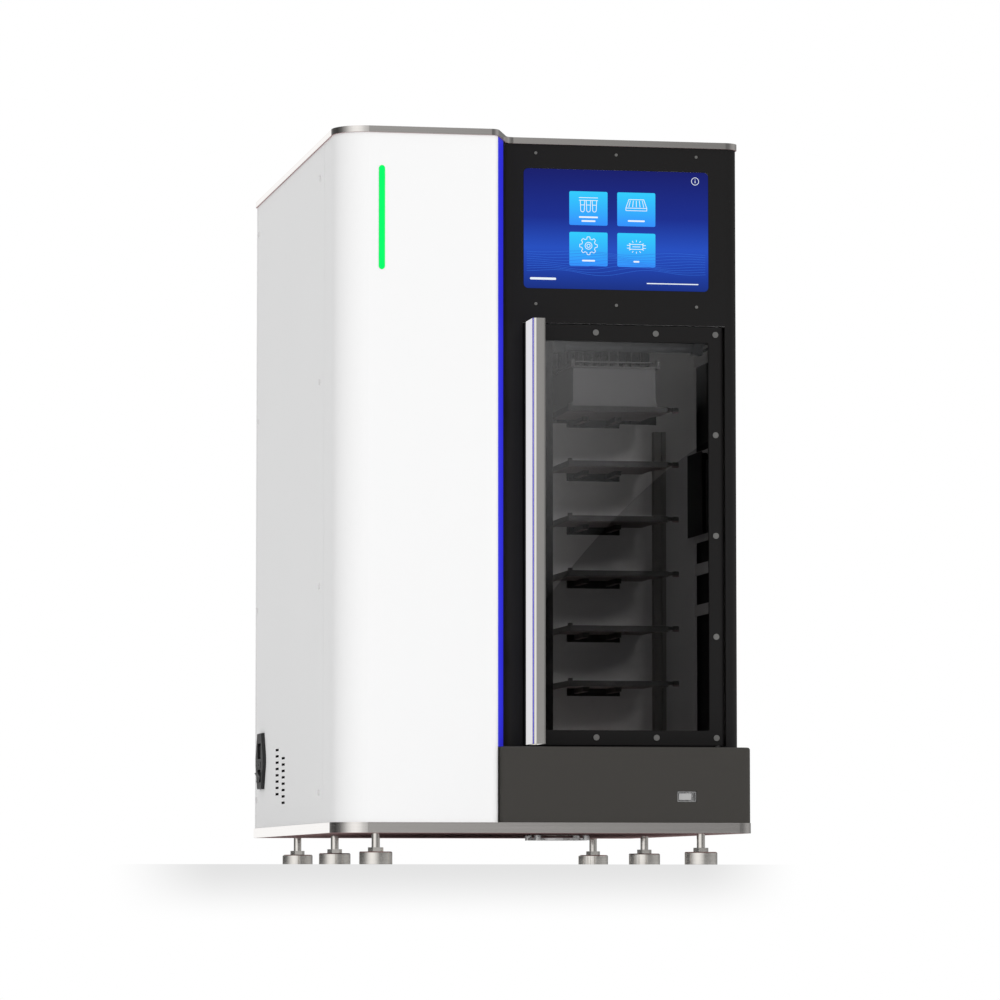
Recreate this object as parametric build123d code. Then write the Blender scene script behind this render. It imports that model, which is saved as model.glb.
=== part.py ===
from build123d import *
import math
import os

# Bench-top magnetic-rod nucleic acid extractor.
# Millimetres. X to the right, Y to the rear, Z up; origin under the middle of the machine, on the bench.

# Overall envelope
width = 410.0
depth = 570.0
foot_height = 30.0
base_thickness = 10.0
body_height = 664.0
top_thickness = 6.0
overhang = 1.5               # plates stand this far outside the covers
wall = 2.0                   # sheet covers
gap = 0.4                    # seam between neighbouring covers

# Plan shape: a deeper tower at the left, a recessed front at the right, a slanted flank between
recess = 50.0
flank_front_x = -46.5
flank_angle = 20.0
left_corner_radius = 32.0
right_corner_radius = 14.0
rear_corner_radius = 6.0
flank_corner_radius = 9.0
base_front_radius = 14.0

# Covers
cover_depth = 85.0           # the white front cover wraps this far round the left side
strip_length = 30.0          # blue strip, along the flank
strip_thickness = 1.6
box_height = 73.0            # lower front cover
box_corner_radius = 8.0
box_edge_radius = 2.5
display_height = 176.0

# Status light
light_width = 6.1
light_height = 101.0
light_centre_x = -160.2
light_centre_z = 621.5

# Touch screen and its panel screws
screen_width = 185.0
screen_height = 118.0
screen_centre_x = 81.0
screen_centre_z = 621.0
screen_corner_radius = 4.5
screen_thickness = 5.0
screen_fit = 0.2
panel_screw_radius = 1.5
panel_screw_head = 0.5
panel_screw_spread = 161.0
panel_screw_rise = 74.3

# Door
door_left = -11.4
door_right = 189.0
door_thickness = 12.0
door_gap = 1.0
rail = 15.6
glass_thickness = 4.0
glass_setback = 1.0
glass_lap = 4.0
door_screw_radius = 2.95
door_screw_head = 0.5
door_screw_inset = 8.6
door_screw_pitch = 60.0
pivot_radius = 2.5
pivot_length = 8.0
running_clearance = 0.05

# Handle
handle_width = 12.4
handle_depth = 37.0
handle_reach = 10.3
handle_wall = 2.2
handle_groove = 4.4          # behind the front face
standoff_height = 22.0
standoff_width = 8.0
standoff_spread = 241.0
standoff_lift = 85.0         # lower standoff above the door's lower edge

# Plate chamber
chamber_left = 20.0
chamber_right = 196.0
chamber_back_y = -70.0
liner = 2.0
frame_thickness = 3.0
mouth_margin = 6.0           # chamber mouth inside the door's edge, top and bottom
bay_sill_z = 437.0
bay_left = 39.0
bay_right = 152.0
slot_left = 64.0
slot_right = 119.0
slot_height = 9.0
column_left = 152.0
column_right = 164.0
column_depth = 12.0

# Trays
tray_count = 6
tray_pitch = 54.2
tray_top_z = 451.3
tray_left = 41.0
tray_width = 99.7
tray_front_y = -195.0
tray_depth = 122.0
tray_sheet = 3.0
tray_lip = 5.8
tray_arm_width = 6.0
tray_arm_height = 4.6
tray_arm_spread = 33.0
tray_arm_reach = 60.0        # behind the chamber's back wall
runner_length = 60.0
runner_width = 51.0
slide_clearance = 0.3
knob_radius = 2.9
knob_length = 5.5
knob_drop = 1.8

# Deep-well plate and tip comb, on the 9 mm grid
plate_width = 85.48
plate_length = 127.76
plate_height = 38.0
well_pitch = 9.0
well_size = 8.0
well_depth = 34.0
well_columns = 8
well_rows = 12
skirt_height = 4.0
skirt_step = 1.2
comb_height = 6.5
comb_sheet = 1.6
sleeve_half = 3.0
sleeve_wall = 0.8
sleeve_drop = 28.0

# Rod head and its lift
rod_radius = 1.6
rod_length = 48.0
head_thickness = 22.0
head_margin = 9.5            # head block beyond the outer rods, front and rear
head_clearance = 6.0         # rods above the comb when the head is up
process_travel = 123.0       # from the first tray's parked place to below the rods
screw_radius = 5.0
screw_x = 166.0
rail_width = 12.0
motor_size = 42.3
motor_length = 48.0

# Fan in the floor
fan_size = 70.0
fan_thickness = 20.0
fan_x = 59.0
fan_y = -45.0
fan_bore_radius = 32.5
hub_radius = 14.0
blade_count = 7
guard_drop = 5.0
guard_wire = 1.1
guard_rings = (8.0, 15.0, 22.0, 29.0)
guard_sides = 24
eye_radius = 3.4

# Power inlet module on the left side
inlet_y = 224.0
inlet_z = 110.0
inlet_height = 58.6
inlet_width = 56.0
inlet_top_width = 32.0
inlet_flange = 3.6
inlet_body_depth = 30.0
inlet_body_width = 27.6
inlet_body_height = 47.6

rocker_y = -15.5             # below the module's middle
rocker_height = 6.3
rocker_half = 5.0
rocker_dip = 1.9
rocker_pivot_depth = 3.0
rocker_tilt = 10.0
trunnion_radius = 1.5

# Louvres and screws of the left side
louvre_count = 8
louvre_length = 22.0
louvre_height = 2.6
louvre_pitch = 6.5
louvre_slope_y = -6.4
side_screw_radius = 3.0
side_screw_head = 1.2

# Feet
foot_radius = 16.0
foot_disc_height = 12.2
foot_hex = 13.0
foot_hex_height = 4.0
stud_radius = 4.0
lock_nut_height = 5.0
foot_x = 160.0
foot_front_y = -252.0
foot_pitch = 258.0

# How far the raised end of the rocker stands out beyond the plates
tilt = math.radians(rocker_tilt)
rocker_reach = ((rocker_height + rocker_pivot_depth) * math.cos(tilt) + rocker_half * math.sin(tilt)
                - rocker_pivot_depth)
inlet_reach = rocker_reach - overhang

# Planes that follow from the sizes above
left_x = -width / 2
right_x = width / 2
front_y = -depth / 2
rear_y = depth / 2
base_top_z = foot_height + base_thickness
top_z = base_top_z + body_height
body_left_x = left_x + overhang
body_right_x = right_x - overhang
body_front_y = front_y + overhang
body_rear_y = rear_y - overhang
face_y = front_y + recess + overhang
box_top_z = base_top_z + box_height
display_z = top_z - display_height
door_low_z = box_top_z + 3.0
door_high_z = display_z - door_gap
door_back_y = face_y + door_thickness
pivot_x = door_right - door_thickness / 2
pivot_y = face_y + door_thickness / 2
frame_y = door_back_y + 1.0
chamber_front_y = frame_y + frame_thickness
chamber_low_z = door_low_z + mouth_margin
chamber_high_z = door_high_z - mouth_margin
seam_y = front_y + cover_depth
tray_right = tray_left + tray_width
well_centre_x = tray_left + tray_width / 2 - 3.0
plate_front_y = tray_front_y + 3.0
plate_centre_y = plate_front_y + plate_length / 2
plate_top_z = tray_top_z + plate_height
head_centre_y = plate_centre_y + process_travel
head_half = (well_rows - 1) * well_pitch / 2 + head_margin
head_y0 = head_centre_y - head_half
head_y1 = head_centre_y + head_half
rods_low_z = plate_top_z + comb_height + head_clearance
head_low_z = rods_low_z + rod_length
lift_y = head_y1 + 16.0      # axis of the lead screw
lift_low_z = bay_sill_z
lift_high_z = 646.0


def block(x0, x1, y0, y1, z0, z1):
    return Pos((x0 + x1) / 2, (y0 + y1) / 2, (z0 + z1) / 2) * Box(x1 - x0, y1 - y0, z1 - z0)


def post(radius, x, y, z0, z1):
    return Pos(x, y, (z0 + z1) / 2) * Cylinder(radius, z1 - z0)


def pin_y(radius, x, z, y0, y1):
    return Pos(x, (y0 + y1) / 2, z) * Rot(90, 0, 0) * Cylinder(radius, y1 - y0)


def pin_x(radius, y, z, x0, x1):
    return Pos((x0 + x1) / 2, y, z) * Rot(0, 90, 0) * Cylinder(radius, x1 - x0)


def prism(face, z0, z1):
    return extrude(Pos(0, 0, z0) * face, z1 - z0)


def round_corner(face, x, y, radius):
    corner = face.vertices().sort_by_distance(Vector(x, y, 0))[0]
    return fillet(corner, radius)


def plate_from(points):
    return make_face(Polyline(*points, close=True))


def fuse(solids):
    whole = solids[0]
    for solid in solids[1:]:
        whole = whole + solid
    return whole


def write(name, *solids):
    """One file per node; the inlet stands out at the left, so the middle of the whole lies left of X 0."""
    placed = [Pos(inlet_reach / 2, 0, 0) * solid for solid in solids]
    shape = placed[0] if len(placed) == 1 else Compound(children=placed)
    export_step(shape, "parts/" + name + ".step")


def flank_x(y, inset):
    """X of the slanted flank at depth y, set in from the plates' edge."""
    slope = math.tan(math.radians(flank_angle))
    return flank_front_x + (y - front_y) * slope - inset / math.cos(math.radians(flank_angle))


def stepped_outline(inset):
    """Plan outline of the top plate and the covers: tower, flank and recessed front."""
    x0, x1 = left_x + inset, right_x - inset
    y0, y1, y2 = front_y + inset, front_y + recess + inset, rear_y - inset
    step0, step1 = flank_x(y0, inset), flank_x(y1, inset)
    face = plate_from([(x0, y0), (step0, y0), (step1, y1), (x1, y1), (x1, y2), (x0, y2)])
    face = round_corner(face, x0, y0, left_corner_radius - inset)
    face = round_corner(face, step0, y0, flank_corner_radius - inset)
    face = round_corner(face, step1, y1, flank_corner_radius + inset)
    face = round_corner(face, x1, y1, right_corner_radius - inset)
    face = round_corner(face, x1, y2, rear_corner_radius - inset)
    return round_corner(face, x0, y2, rear_corner_radius - inset)


def shell_outline(thickness=wall):
    return stepped_outline(overhang) - stepped_outline(overhang + thickness)


# ---- plates and covers ----

def foot_places():
    rows = [foot_front_y + i * foot_pitch for i in range(3)]
    return [(side * foot_x, y) for side in (-1, 1) for y in rows]


def base_plate():
    face = plate_from([(left_x, front_y), (right_x, front_y), (right_x, rear_y), (left_x, rear_y)])
    face = round_corner(face, left_x, front_y, left_corner_radius)
    face = round_corner(face, right_x, front_y, base_front_radius)
    face = round_corner(face, right_x, rear_y, rear_corner_radius)
    face = round_corner(face, left_x, rear_y, rear_corner_radius)
    plate = prism(face, foot_height, base_top_z)
    plate -= post(fan_bore_radius, fan_x, fan_y, foot_height - 1, base_top_z + 1)
    for x, y in foot_places():
        plate -= post(stud_radius + running_clearance, x, y, foot_height - 1, base_top_z + 1)
    return plate


def top_plate():
    return prism(stepped_outline(0), top_z, top_z + top_thickness)


def front_left_cover():
    shell = prism(shell_outline(), base_top_z, top_z)
    tower = block(left_x, flank_front_x + 6, front_y, body_front_y + 6.5, 0, top_z)
    side = block(left_x, left_x + 20, front_y, seam_y - gap / 2, 0, top_z)
    return (shell & (tower + side)) - light_pocket(light_width / 2, 1)


def light_pocket(radius, depth):
    """Rounded upright slot through the front wall of the tower."""
    face = SlotOverall(light_height, 2 * radius)
    slot = extrude(face, wall + 2 * depth)
    return Pos(light_centre_x, body_front_y + wall + depth, light_centre_z) * Rot(90, 0, 0) * Rot(0, 0, 90) * slot


def status_light():
    lens = light_pocket(light_width / 2, 1)
    return lens & block(left_x, 0, body_front_y - 0.3, body_front_y + wall, 0, top_z)


def accent_strip():
    start = body_front_y + 6.5 + gap
    run = strip_length * math.cos(math.radians(flank_angle))
    points = [(flank_x(start, overhang), start),
              (flank_x(start + run, overhang), start + run),
              (flank_x(start + run, overhang + strip_thickness), start + run),
              (flank_x(start, overhang + strip_thickness), start)]
    return prism(plate_from(points), box_top_z, top_z)


def left_side_panel():
    panel = prism(shell_outline(), base_top_z, top_z)
    panel = panel & block(left_x, left_x + 20, seam_y + gap / 2, body_rear_y - 12, 0, top_z)
    panel = panel - louvres() - inlet_cutout()
    return panel


def louvres():
    """Two columns of vent slots; each column steps down towards the rear."""
    slots = []
    for column, (y, z_high) in enumerate([(114.0, 119.0), (70.0, 109.5)]):
        for i in range(louvre_count):
            z = z_high - i * louvre_pitch
            slots.append(block(left_x - 1, left_x + 10, y - louvre_length / 2, y + louvre_length / 2,
                               z - louvre_height / 2, z + louvre_height / 2))
    return fuse(slots)


def side_screw_places():
    return [(y, z) for y in (-174.5, 265.0) for z in (70.0, 271.0, 472.0, 673.0)]


def side_panel_screws():
    """Button heads on the left side."""
    return [pin_x(side_screw_radius, y, z, body_left_x - side_screw_head, body_left_x)
            for y, z in side_screw_places()]


def rear_panel():
    panel = prism(shell_outline(), base_top_z, top_z)
    panel = panel & block(left_x, right_x, body_rear_y - 12 + gap, rear_y, 0, top_z)
    for i in range(10):
        z = 560.0 + i * 9
        panel -= block(70, 150, body_rear_y - 10, rear_y, z, z + 3.2)
    return panel


def right_side_panel():
    panel = prism(shell_outline(), base_top_z, top_z)
    upper = block(right_x - 20, right_x, face_y + 60 + gap, body_rear_y - 12, 0, top_z)
    lower = block(right_x - 20, right_x, face_y - 1, face_y + 61, 0, box_top_z - gap)
    return panel & (upper + lower)


def lower_front_cover():
    """Dark box under the door, flush with the tower; open to the rear and below."""
    x0, x1 = flank_front_x + 2.2, body_right_x
    outer = prism(box_face(x0, x1, 0), base_top_z, box_top_z)
    outer = fillet(outer.edges().group_by(Axis.Z)[-1].filter_by(lambda e: e.center().Y < face_y - 1), box_edge_radius)
    inner = prism(box_face(x0 + 2.5, x1 - 2.5, 2.5), base_top_z - 1, box_top_z - 2.5)
    cover = outer - inner - usb_window(0.2)
    return cover


def box_face(x0, x1, inset):
    y0, y1 = body_front_y + inset, face_y - gap
    face = plate_from([(x0, y0), (x1, y0), (x1, y1), (x0, y1)])
    face = round_corner(face, x0, y0, box_corner_radius - inset)
    return round_corner(face, x1, y0, box_corner_radius - inset)


usb_x = 139.3
usb_z = 65.2
usb_width = 18.6
usb_height = 10.0
usb_depth = 16.0


def usb_window(clearance):
    return block(usb_x - usb_width / 2 - clearance, usb_x + usb_width / 2 + clearance, front_y - 1,
                 body_front_y + 6, usb_z - usb_height / 2 - clearance, usb_z + usb_height / 2 + clearance)


def usb_socket():
    """Black bezel with a type-A shell and its tongue."""
    bezel = block(usb_x - usb_width / 2, usb_x + usb_width / 2, body_front_y + 1.2, body_front_y + usb_depth,
                  usb_z - usb_height / 2, usb_z + usb_height / 2)
    mouth = block(usb_x - 6.2, usb_x + 6.2, front_y, body_front_y + 13, usb_z - 2.6, usb_z + 2.6)
    tongue = block(usb_x - 5.4, usb_x + 5.4, body_front_y + 3, body_front_y + 13, usb_z + 0.2, usb_z + 2.0)
    return bezel - mouth + tongue


# ---- black front: display panel, frame, door ----

def front_shell(z0, z1):
    """Black sheet round the recessed front, from the blue strip to the right-hand seam."""
    shell = prism(stepped_outline(overhang) - stepped_outline(overhang + frame_thickness), z0, z1)
    strip_end = body_front_y + 6.5 + 2 * gap + strip_length * math.cos(math.radians(flank_angle))
    flank = block(flank_front_x - 10, 0, strip_end, face_y + 8, z0, z1)
    face = block(-5, right_x, front_y, face_y + 60, z0, z1)
    return shell & (flank + face)


def display_panel():
    panel = front_shell(display_z, top_z)
    fit = screen_fit
    window = RectangleRounded(screen_width + 2 * fit, screen_height + 2 * fit, screen_corner_radius + fit)
    cut = Pos(screen_centre_x, face_y + 8, screen_centre_z) * Rot(90, 0, 0) * extrude(window, 12)
    return panel - cut


def panel_screw_places():
    return [(screen_centre_x + i * panel_screw_spread / 2, screen_centre_z + k * panel_screw_rise)
            for i in (-1, 0, 1) for k in (-1, 1)]


def display_screws():
    return [pin_y(panel_screw_radius, x, z, face_y - panel_screw_head, face_y) for x, z in panel_screw_places()]


def touch_screen():
    outline = RectangleRounded(screen_width, screen_height, screen_corner_radius)
    glass = Pos(screen_centre_x, face_y + screen_thickness, screen_centre_z) * Rot(90, 0, 0) * extrude(outline, screen_thickness)
    backing = block(screen_centre_x - screen_width / 2 + 6, screen_centre_x + screen_width / 2 - 6,
                    face_y + screen_thickness, face_y + screen_thickness + 12,
                    screen_centre_z - screen_height / 2 + 6, screen_centre_z + screen_height / 2 - 6)
    return glass + backing


def front_frame():
    """Posts beside the door, and the flange round the chamber's mouth."""
    posts = front_shell(box_top_z, display_z)
    posts -= block(door_left - door_gap, door_right + door_gap, front_y, frame_y + 1, box_top_z - 1, display_z + 1)
    flange = block(door_left - door_gap - frame_thickness, body_right_x - frame_thickness,
                   frame_y, chamber_front_y, box_top_z, display_z)
    flange -= block(chamber_left, chamber_right, frame_y - 1, chamber_front_y + 1, chamber_low_z, chamber_high_z)
    left_return = block(door_left - door_gap - frame_thickness, door_left - door_gap,
                        face_y, frame_y, box_top_z, display_z)
    right_return = block(door_right + door_gap, door_right + door_gap + frame_thickness,
                         face_y, frame_y, box_top_z, display_z)
    sill = block(door_left - door_gap, door_right + door_gap, face_y, frame_y, box_top_z, door_low_z - door_gap)
    frame = posts + flange + left_return + right_return + sill
    return frame - post(pivot_radius, pivot_x, pivot_y, box_top_z - 1, door_low_z + 1)


def door_pivots():
    """Fixed pins at the door's lower and upper right corner."""
    low = post(pivot_radius, pivot_x, pivot_y, box_top_z, door_low_z + pivot_length)
    high = post(pivot_radius, pivot_x, pivot_y, door_high_z - pivot_length, display_z + 3)
    lug = block(pivot_x - 8, pivot_x + 8, face_y + frame_thickness, chamber_front_y, display_z, display_z + 3)
    return low, high + lug


def door_frame():
    """Black frame with a round right edge about the pivot and a rebate for the glass."""
    half = door_thickness / 2
    slab = block(door_left, pivot_x, face_y, door_back_y, door_low_z, door_high_z)
    slab += post(half, pivot_x, pivot_y, door_low_z, door_high_z)
    slab -= window_block(0, face_y - 1, door_back_y + 1, 2.0)
    slab -= window_block(glass_lap, face_y + glass_setback, face_y + glass_setback + glass_thickness, 2.0)
    slab -= window_block(glass_lap - 2, face_y + glass_setback + glass_thickness, door_back_y + 1, 2.0)
    bore = pivot_radius + running_clearance
    slab -= post(bore, pivot_x, pivot_y, door_low_z - 1, door_low_z + pivot_length + 0.5)
    slab -= post(bore, pivot_x, pivot_y, door_high_z - pivot_length - 0.5, door_high_z + 1)
    return slab


def window_block(lap, y0, y1, radius):
    """The door's window, larger by the lap, between two depths."""
    x0, x1 = door_left + rail - lap, door_right - rail + lap
    z0, z1 = door_low_z + rail - 1.2 - lap, door_high_z - rail + lap
    outline = RectangleRounded(x1 - x0, z1 - z0, radius)
    return Pos((x0 + x1) / 2, y1, (z0 + z1) / 2) * Rot(90, 0, 0) * extrude(outline, y1 - y0)


def door_glass():
    return window_block(glass_lap, face_y + glass_setback, face_y + glass_setback + glass_thickness, 2.0)


def door_screw_places():
    x_right = door_right - door_screw_inset
    z_low, z_high = door_low_z + door_screw_inset - 1.2, door_high_z - door_screw_inset + 1.2
    rim = [(x_right - i * door_screw_pitch, z) for i in range(3) for z in (z_low, z_high)]
    side = [(x_right, z_low + i * (z_high - z_low) / 4) for i in (1, 2, 3)]
    return rim + side


def door_screws():
    return [pin_y(door_screw_radius, x, z, face_y - door_screw_head, face_y) for x, z in door_screw_places()]


def handle_section():
    """Hollow bar: broad left face with a groove close behind its rounded nose."""
    x0, x1 = door_left, door_left + handle_width
    y1 = face_y - handle_reach
    y0 = y1 - handle_depth
    face = plate_from([(x0, y0), (x1, y0), (x1, y1), (x0, y1)])
    face = round_corner(face, x0, y0, 3.5)
    face = round_corner(face, x1, y0, 1.5)
    hollow = Pos((x0 + x1) / 2, (y0 + y1) / 2, 0) * RectangleRounded(
        handle_width - 2 * handle_wall, handle_depth - 2 * handle_wall, 1.5)
    groove = Pos(x0, y0 + handle_groove) * Rectangle(1.2, 0.9)
    return face - hollow - groove


def door_handle():
    return prism(handle_section(), door_low_z - 0.5, door_high_z + 0.5)


def handle_standoffs():
    """Two stubs between the bar and the door's left stile."""
    stubs = []
    for z in (door_low_z + standoff_lift, door_low_z + standoff_lift + standoff_spread):
        stubs.append(block(door_left + 1.5, door_left + 1.5 + standoff_width, face_y - handle_reach, face_y,
                           z - standoff_height / 2, z + standoff_height / 2))
    return stubs


# ---- plate chamber ----

def tray_tops():
    return [tray_top_z - i * tray_pitch for i in range(tray_count)]


def chamber_back():
    """Rear liner: process bay opening above, one slot under each tray, open strip beside the column."""
    y0, y1 = chamber_back_y, chamber_back_y + liner
    wall_plate = block(chamber_left, chamber_right, y0, y1, chamber_low_z, chamber_high_z)
    wall_plate -= block(bay_left, bay_right - 2, y0 - 1, y1 + 1, bay_sill_z, chamber_high_z - 12)
    knob_z = tray_top_z - knob_drop
    knob_room = knob_radius + 2
    wall_plate -= block(bay_right - 3, tray_right + 9 + knob_length + 2, y0 - 1, y1 + 1,
                        knob_z - knob_room, knob_z + knob_room)
    for top in tray_tops()[1:]:
        high = top - tray_sheet + 1.5
        wall_plate -= block(slot_left, slot_right, y0 - 1, y1 + 1, high - slot_height, high)
    return wall_plate


def chamber_left_wall():
    return block(chamber_left - liner, chamber_left, chamber_front_y, chamber_back_y + liner,
                 chamber_low_z - liner, chamber_high_z + liner)


def chamber_right_wall():
    """Right liner with round-cornered cut-outs between three bridges."""
    wall_plate = block(chamber_right, chamber_right + liner, chamber_front_y, chamber_back_y + liner,
                       chamber_low_z - liner, chamber_high_z + liner)
    middle_y = (chamber_front_y + chamber_back_y) / 2
    length = chamber_back_y - chamber_front_y - 36
    bridges = [chamber_low_z + 14, 252.0, 288.0, 492.0]
    for low, high in zip(bridges, bridges[1:]):
        z0, z1 = low + 5, high - 5
        outline = RectangleRounded(length, z1 - z0, 8)
        wall_plate -= Pos(chamber_right - 1, middle_y, (z0 + z1) / 2) * Rot(0, 90, 0) * Rot(0, 0, 90) * extrude(outline, liner + 2)
    return wall_plate


def chamber_floor():
    return block(chamber_left, chamber_right, chamber_front_y, chamber_back_y,
                 chamber_low_z - liner, chamber_low_z)


def chamber_ceiling():
    return block(chamber_left, chamber_right, chamber_front_y, chamber_back_y,
                 chamber_high_z, chamber_high_z + liner)


def lock_housing():
    """Closed box of the door lock and sensor on the right liner."""
    box = block(chamber_right - 7, chamber_right, chamber_front_y + 8, chamber_front_y + 64, 330.0, 404.0)
    return fillet(box.edges().filter_by(Axis.Y).group_by(Axis.X)[0], 3)


def guide_column():
    """Grooved aluminium upright in front of the rear liner, with its cable groove."""
    y0 = chamber_back_y - column_depth
    column = block(column_left, column_right, y0, chamber_back_y, chamber_low_z, bay_sill_z)
    middle = (column_left + column_right) / 2
    return column - block(middle - 2, middle + 2, y0 - 1, y0 + 3, chamber_low_z + 4, bay_sill_z + 1)


def uv_lamp():
    """Germicidal tube with end caps under the chamber's ceiling."""
    z = chamber_high_z - 10
    x0, x1 = chamber_left + 12, chamber_right - 24
    y = chamber_front_y + 30
    caps = [block(x - 5, x + 5, y - 7, y + 7, z - 7, chamber_high_z) for x in (x0, x1)]
    tube = pin_x(5, y, z, x0 + 5, x1 - 5)
    return fuse([tube] + caps)


# ---- trays ----

def tray(top):
    """Sheet tray with a folded lip, a tapered right wing with its knob, and two arms to the rear."""
    x0, x1 = tray_left, tray_right
    y0, y1 = tray_front_y, tray_front_y + tray_depth
    low = top - tray_lip
    sheet = block(x0, x1, y0, y1, top - tray_sheet, top)
    front = block(x0, x1, y0, y0 + tray_sheet, low, top)
    left = block(x0, x0 + tray_sheet, y0, y1 - 30, low, top)
    wing = plate_from([(x1, y0 + 5), (x1 + 7.5, y0 + 14), (x1 + 7.5, y1 - 60), (x1, y1 - 38)])
    stem = pin_x(1.4, y0 + 18, top - knob_drop, x1 + 7.5, x1 + 9)
    knob = pin_x(knob_radius, y0 + 18, top - knob_drop, x1 + 9, x1 + 9 + knob_length)
    wing_solid = prism(wing, top - tray_sheet, top)
    centre = (slot_left + slot_right) / 2
    arms = []
    for side in (-1, 1):
        x = centre + side * tray_arm_spread / 2
        arms.append(block(x - tray_arm_width / 2, x + tray_arm_width / 2, y1 - 40,
                          chamber_back_y + tray_arm_reach, top - tray_sheet - tray_arm_height, top - tray_sheet))
    seats = [block(x0, x0 + 3.8, y0 + 1, y0 + 6, top, top + 2.4)]
    return fuse([sheet, front, left, wing_solid, stem, knob] + arms + seats)


def tray_runners():
    """One grooved runner behind the rear liner for each tray's pair of arms."""
    runners = []
    centre = (slot_left + slot_right) / 2
    y0 = chamber_back_y + liner
    for top in tray_tops():
        z1 = top - tray_sheet - slide_clearance
        z0 = z1 - tray_arm_height - 3
        body = block(centre - runner_width / 2, centre + runner_width / 2, y0, y0 + runner_length, z0, z1)
        for side in (-1, 1):
            x = centre + side * tray_arm_spread / 2
            half = tray_arm_width / 2 + slide_clearance
            body -= block(x - half, x + half, y0 - 1, y0 + runner_length + 1, z0 + 3 - slide_clearance, z1 + 1)
        runners.append(body)
    return runners


def runner_mast():
    """Upright sheet that carries the runners, standing on the base plate."""
    centre = (slot_left + slot_right) / 2
    y0 = chamber_back_y + liner + runner_length
    half = tray_arm_spread / 2 - tray_arm_width / 2 - 2
    mast = block(centre - half, centre + half, y0, y0 + 4, base_top_z, tray_top_z - tray_sheet - 2)
    foot = block(centre - half, centre + half, y0, y0 + 30, base_top_z, base_top_z + 4)
    return mast + foot


def well_places():
    x0 = well_centre_x - (well_columns - 1) * well_pitch / 2
    y0 = plate_centre_y - (well_rows - 1) * well_pitch / 2
    return [(x0 + i * well_pitch, y0 + j * well_pitch) for i in range(well_columns) for j in range(well_rows)]


def deep_well_plate():
    """96 square wells in a standard-footprint block with a stepped skirt."""
    x0, x1 = well_centre_x - plate_width / 2, well_centre_x + plate_width / 2
    y0, y1 = plate_front_y, plate_front_y + plate_length
    step = skirt_step
    body = block(x0 + step, x1 - step, y0 + step, y1 - step, tray_top_z + skirt_height, plate_top_z)
    body += block(x0, x1, y0, y1, tray_top_z, tray_top_z + skirt_height)
    wells = [Pos(x, y, plate_top_z - well_depth / 2 + 0.5) * Box(well_size, well_size, well_depth + 1)
             for x, y in well_places()]
    return body - Compound(children=wells)


def tip_comb():
    """Comb of sheaths: flanged sheet on the plate, ribs between rows, sleeves down into the wells."""
    x0, x1 = well_centre_x - plate_width / 2 - 1.5, well_centre_x + plate_width / 2 + 3
    y0, y1 = plate_front_y - 1.5, plate_front_y + plate_length + 1.5
    sheet = block(x0, x1, y0, y1, plate_top_z, plate_top_z + comb_sheet)
    top = plate_top_z + comb_height
    rim = block(x0 + 2.5, x1 - 6, y0 + 1, y1 - 1, top - 1.4, top)
    rim -= block(x0 + 5, x1 - 8.5, y0 + 3.5, y1 - 3.5, top - 2, top + 1)
    teeth = []
    for x, y in well_places():
        front_row = abs(y - plate_centre_y) > (well_rows - 2) * well_pitch / 2
        if front_row:
            teeth.append(block(x - 2.2, x + 2.2, y - 3, y + 3, plate_top_z + comb_sheet, top - 1.4))
        teeth.append(block(x - sleeve_half, x + sleeve_half, y - sleeve_half, y + sleeve_half,
                           plate_top_z - sleeve_drop, plate_top_z))
    ears = [block(x - 1.5, x + 1.5, y0, y0 + 4, plate_top_z + comb_sheet, top + 1.6) for x in (x0 + 2, x1 - 2)]
    comb = fuse([sheet, rim] + teeth + ears)
    half = sleeve_half - sleeve_wall
    bores = [block(x - half, x + half, y - half, y + half, plate_top_z - sleeve_drop + 1, plate_top_z + comb_sheet + 1)
             for x, y in well_places()]
    return comb - Compound(children=bores)


# ---- rod head and its lift, behind the chamber ----

def rod_head():
    """Block with 96 magnet rods on the plate's grid, a rear bracket and the nut of the lead screw."""
    x0, x1 = well_centre_x - plate_width / 2, well_centre_x + plate_width / 2
    head = block(x0, x1, head_y0, head_y1, head_low_z, head_low_z + head_thickness)
    rods = []
    for x, y in well_places():
        outline = Pos(x, y + process_travel, rods_low_z) * RegularPolygon(rod_radius, 6)
        rods.append(extrude(outline, rod_length + 1))
    return head + Compound(children=rods)


def lift_carriage():
    """Bracket behind the rod head, round the guide rail, with the lead nut at its right end."""
    x0 = well_centre_x - plate_width / 2
    bracket = block(x0, screw_x + 12, head_y1, head_y1 + 8, head_low_z - 6, head_low_z + head_thickness + 10)
    nut = post(11, screw_x, lift_y, head_low_z, head_low_z + head_thickness)
    arm = block(screw_x - 8, screw_x + 8, head_y1 + 7, lift_y, head_low_z, head_low_z + head_thickness)
    shoe = block(well_centre_x - 18, well_centre_x + 18, head_y1 + 8, head_y1 + 22, head_low_z, head_low_z + head_thickness)
    half = rail_width / 2 + slide_clearance
    groove = block(well_centre_x - half, well_centre_x + half, head_y1 + 14 - slide_clearance,
                   head_y1 + 23, head_low_z - 1, head_low_z + head_thickness + 1)
    bore = post(screw_radius + running_clearance, screw_x, lift_y, head_low_z - 1, head_low_z + head_thickness + 1)
    return bracket + nut + arm + shoe - groove - bore


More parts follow.
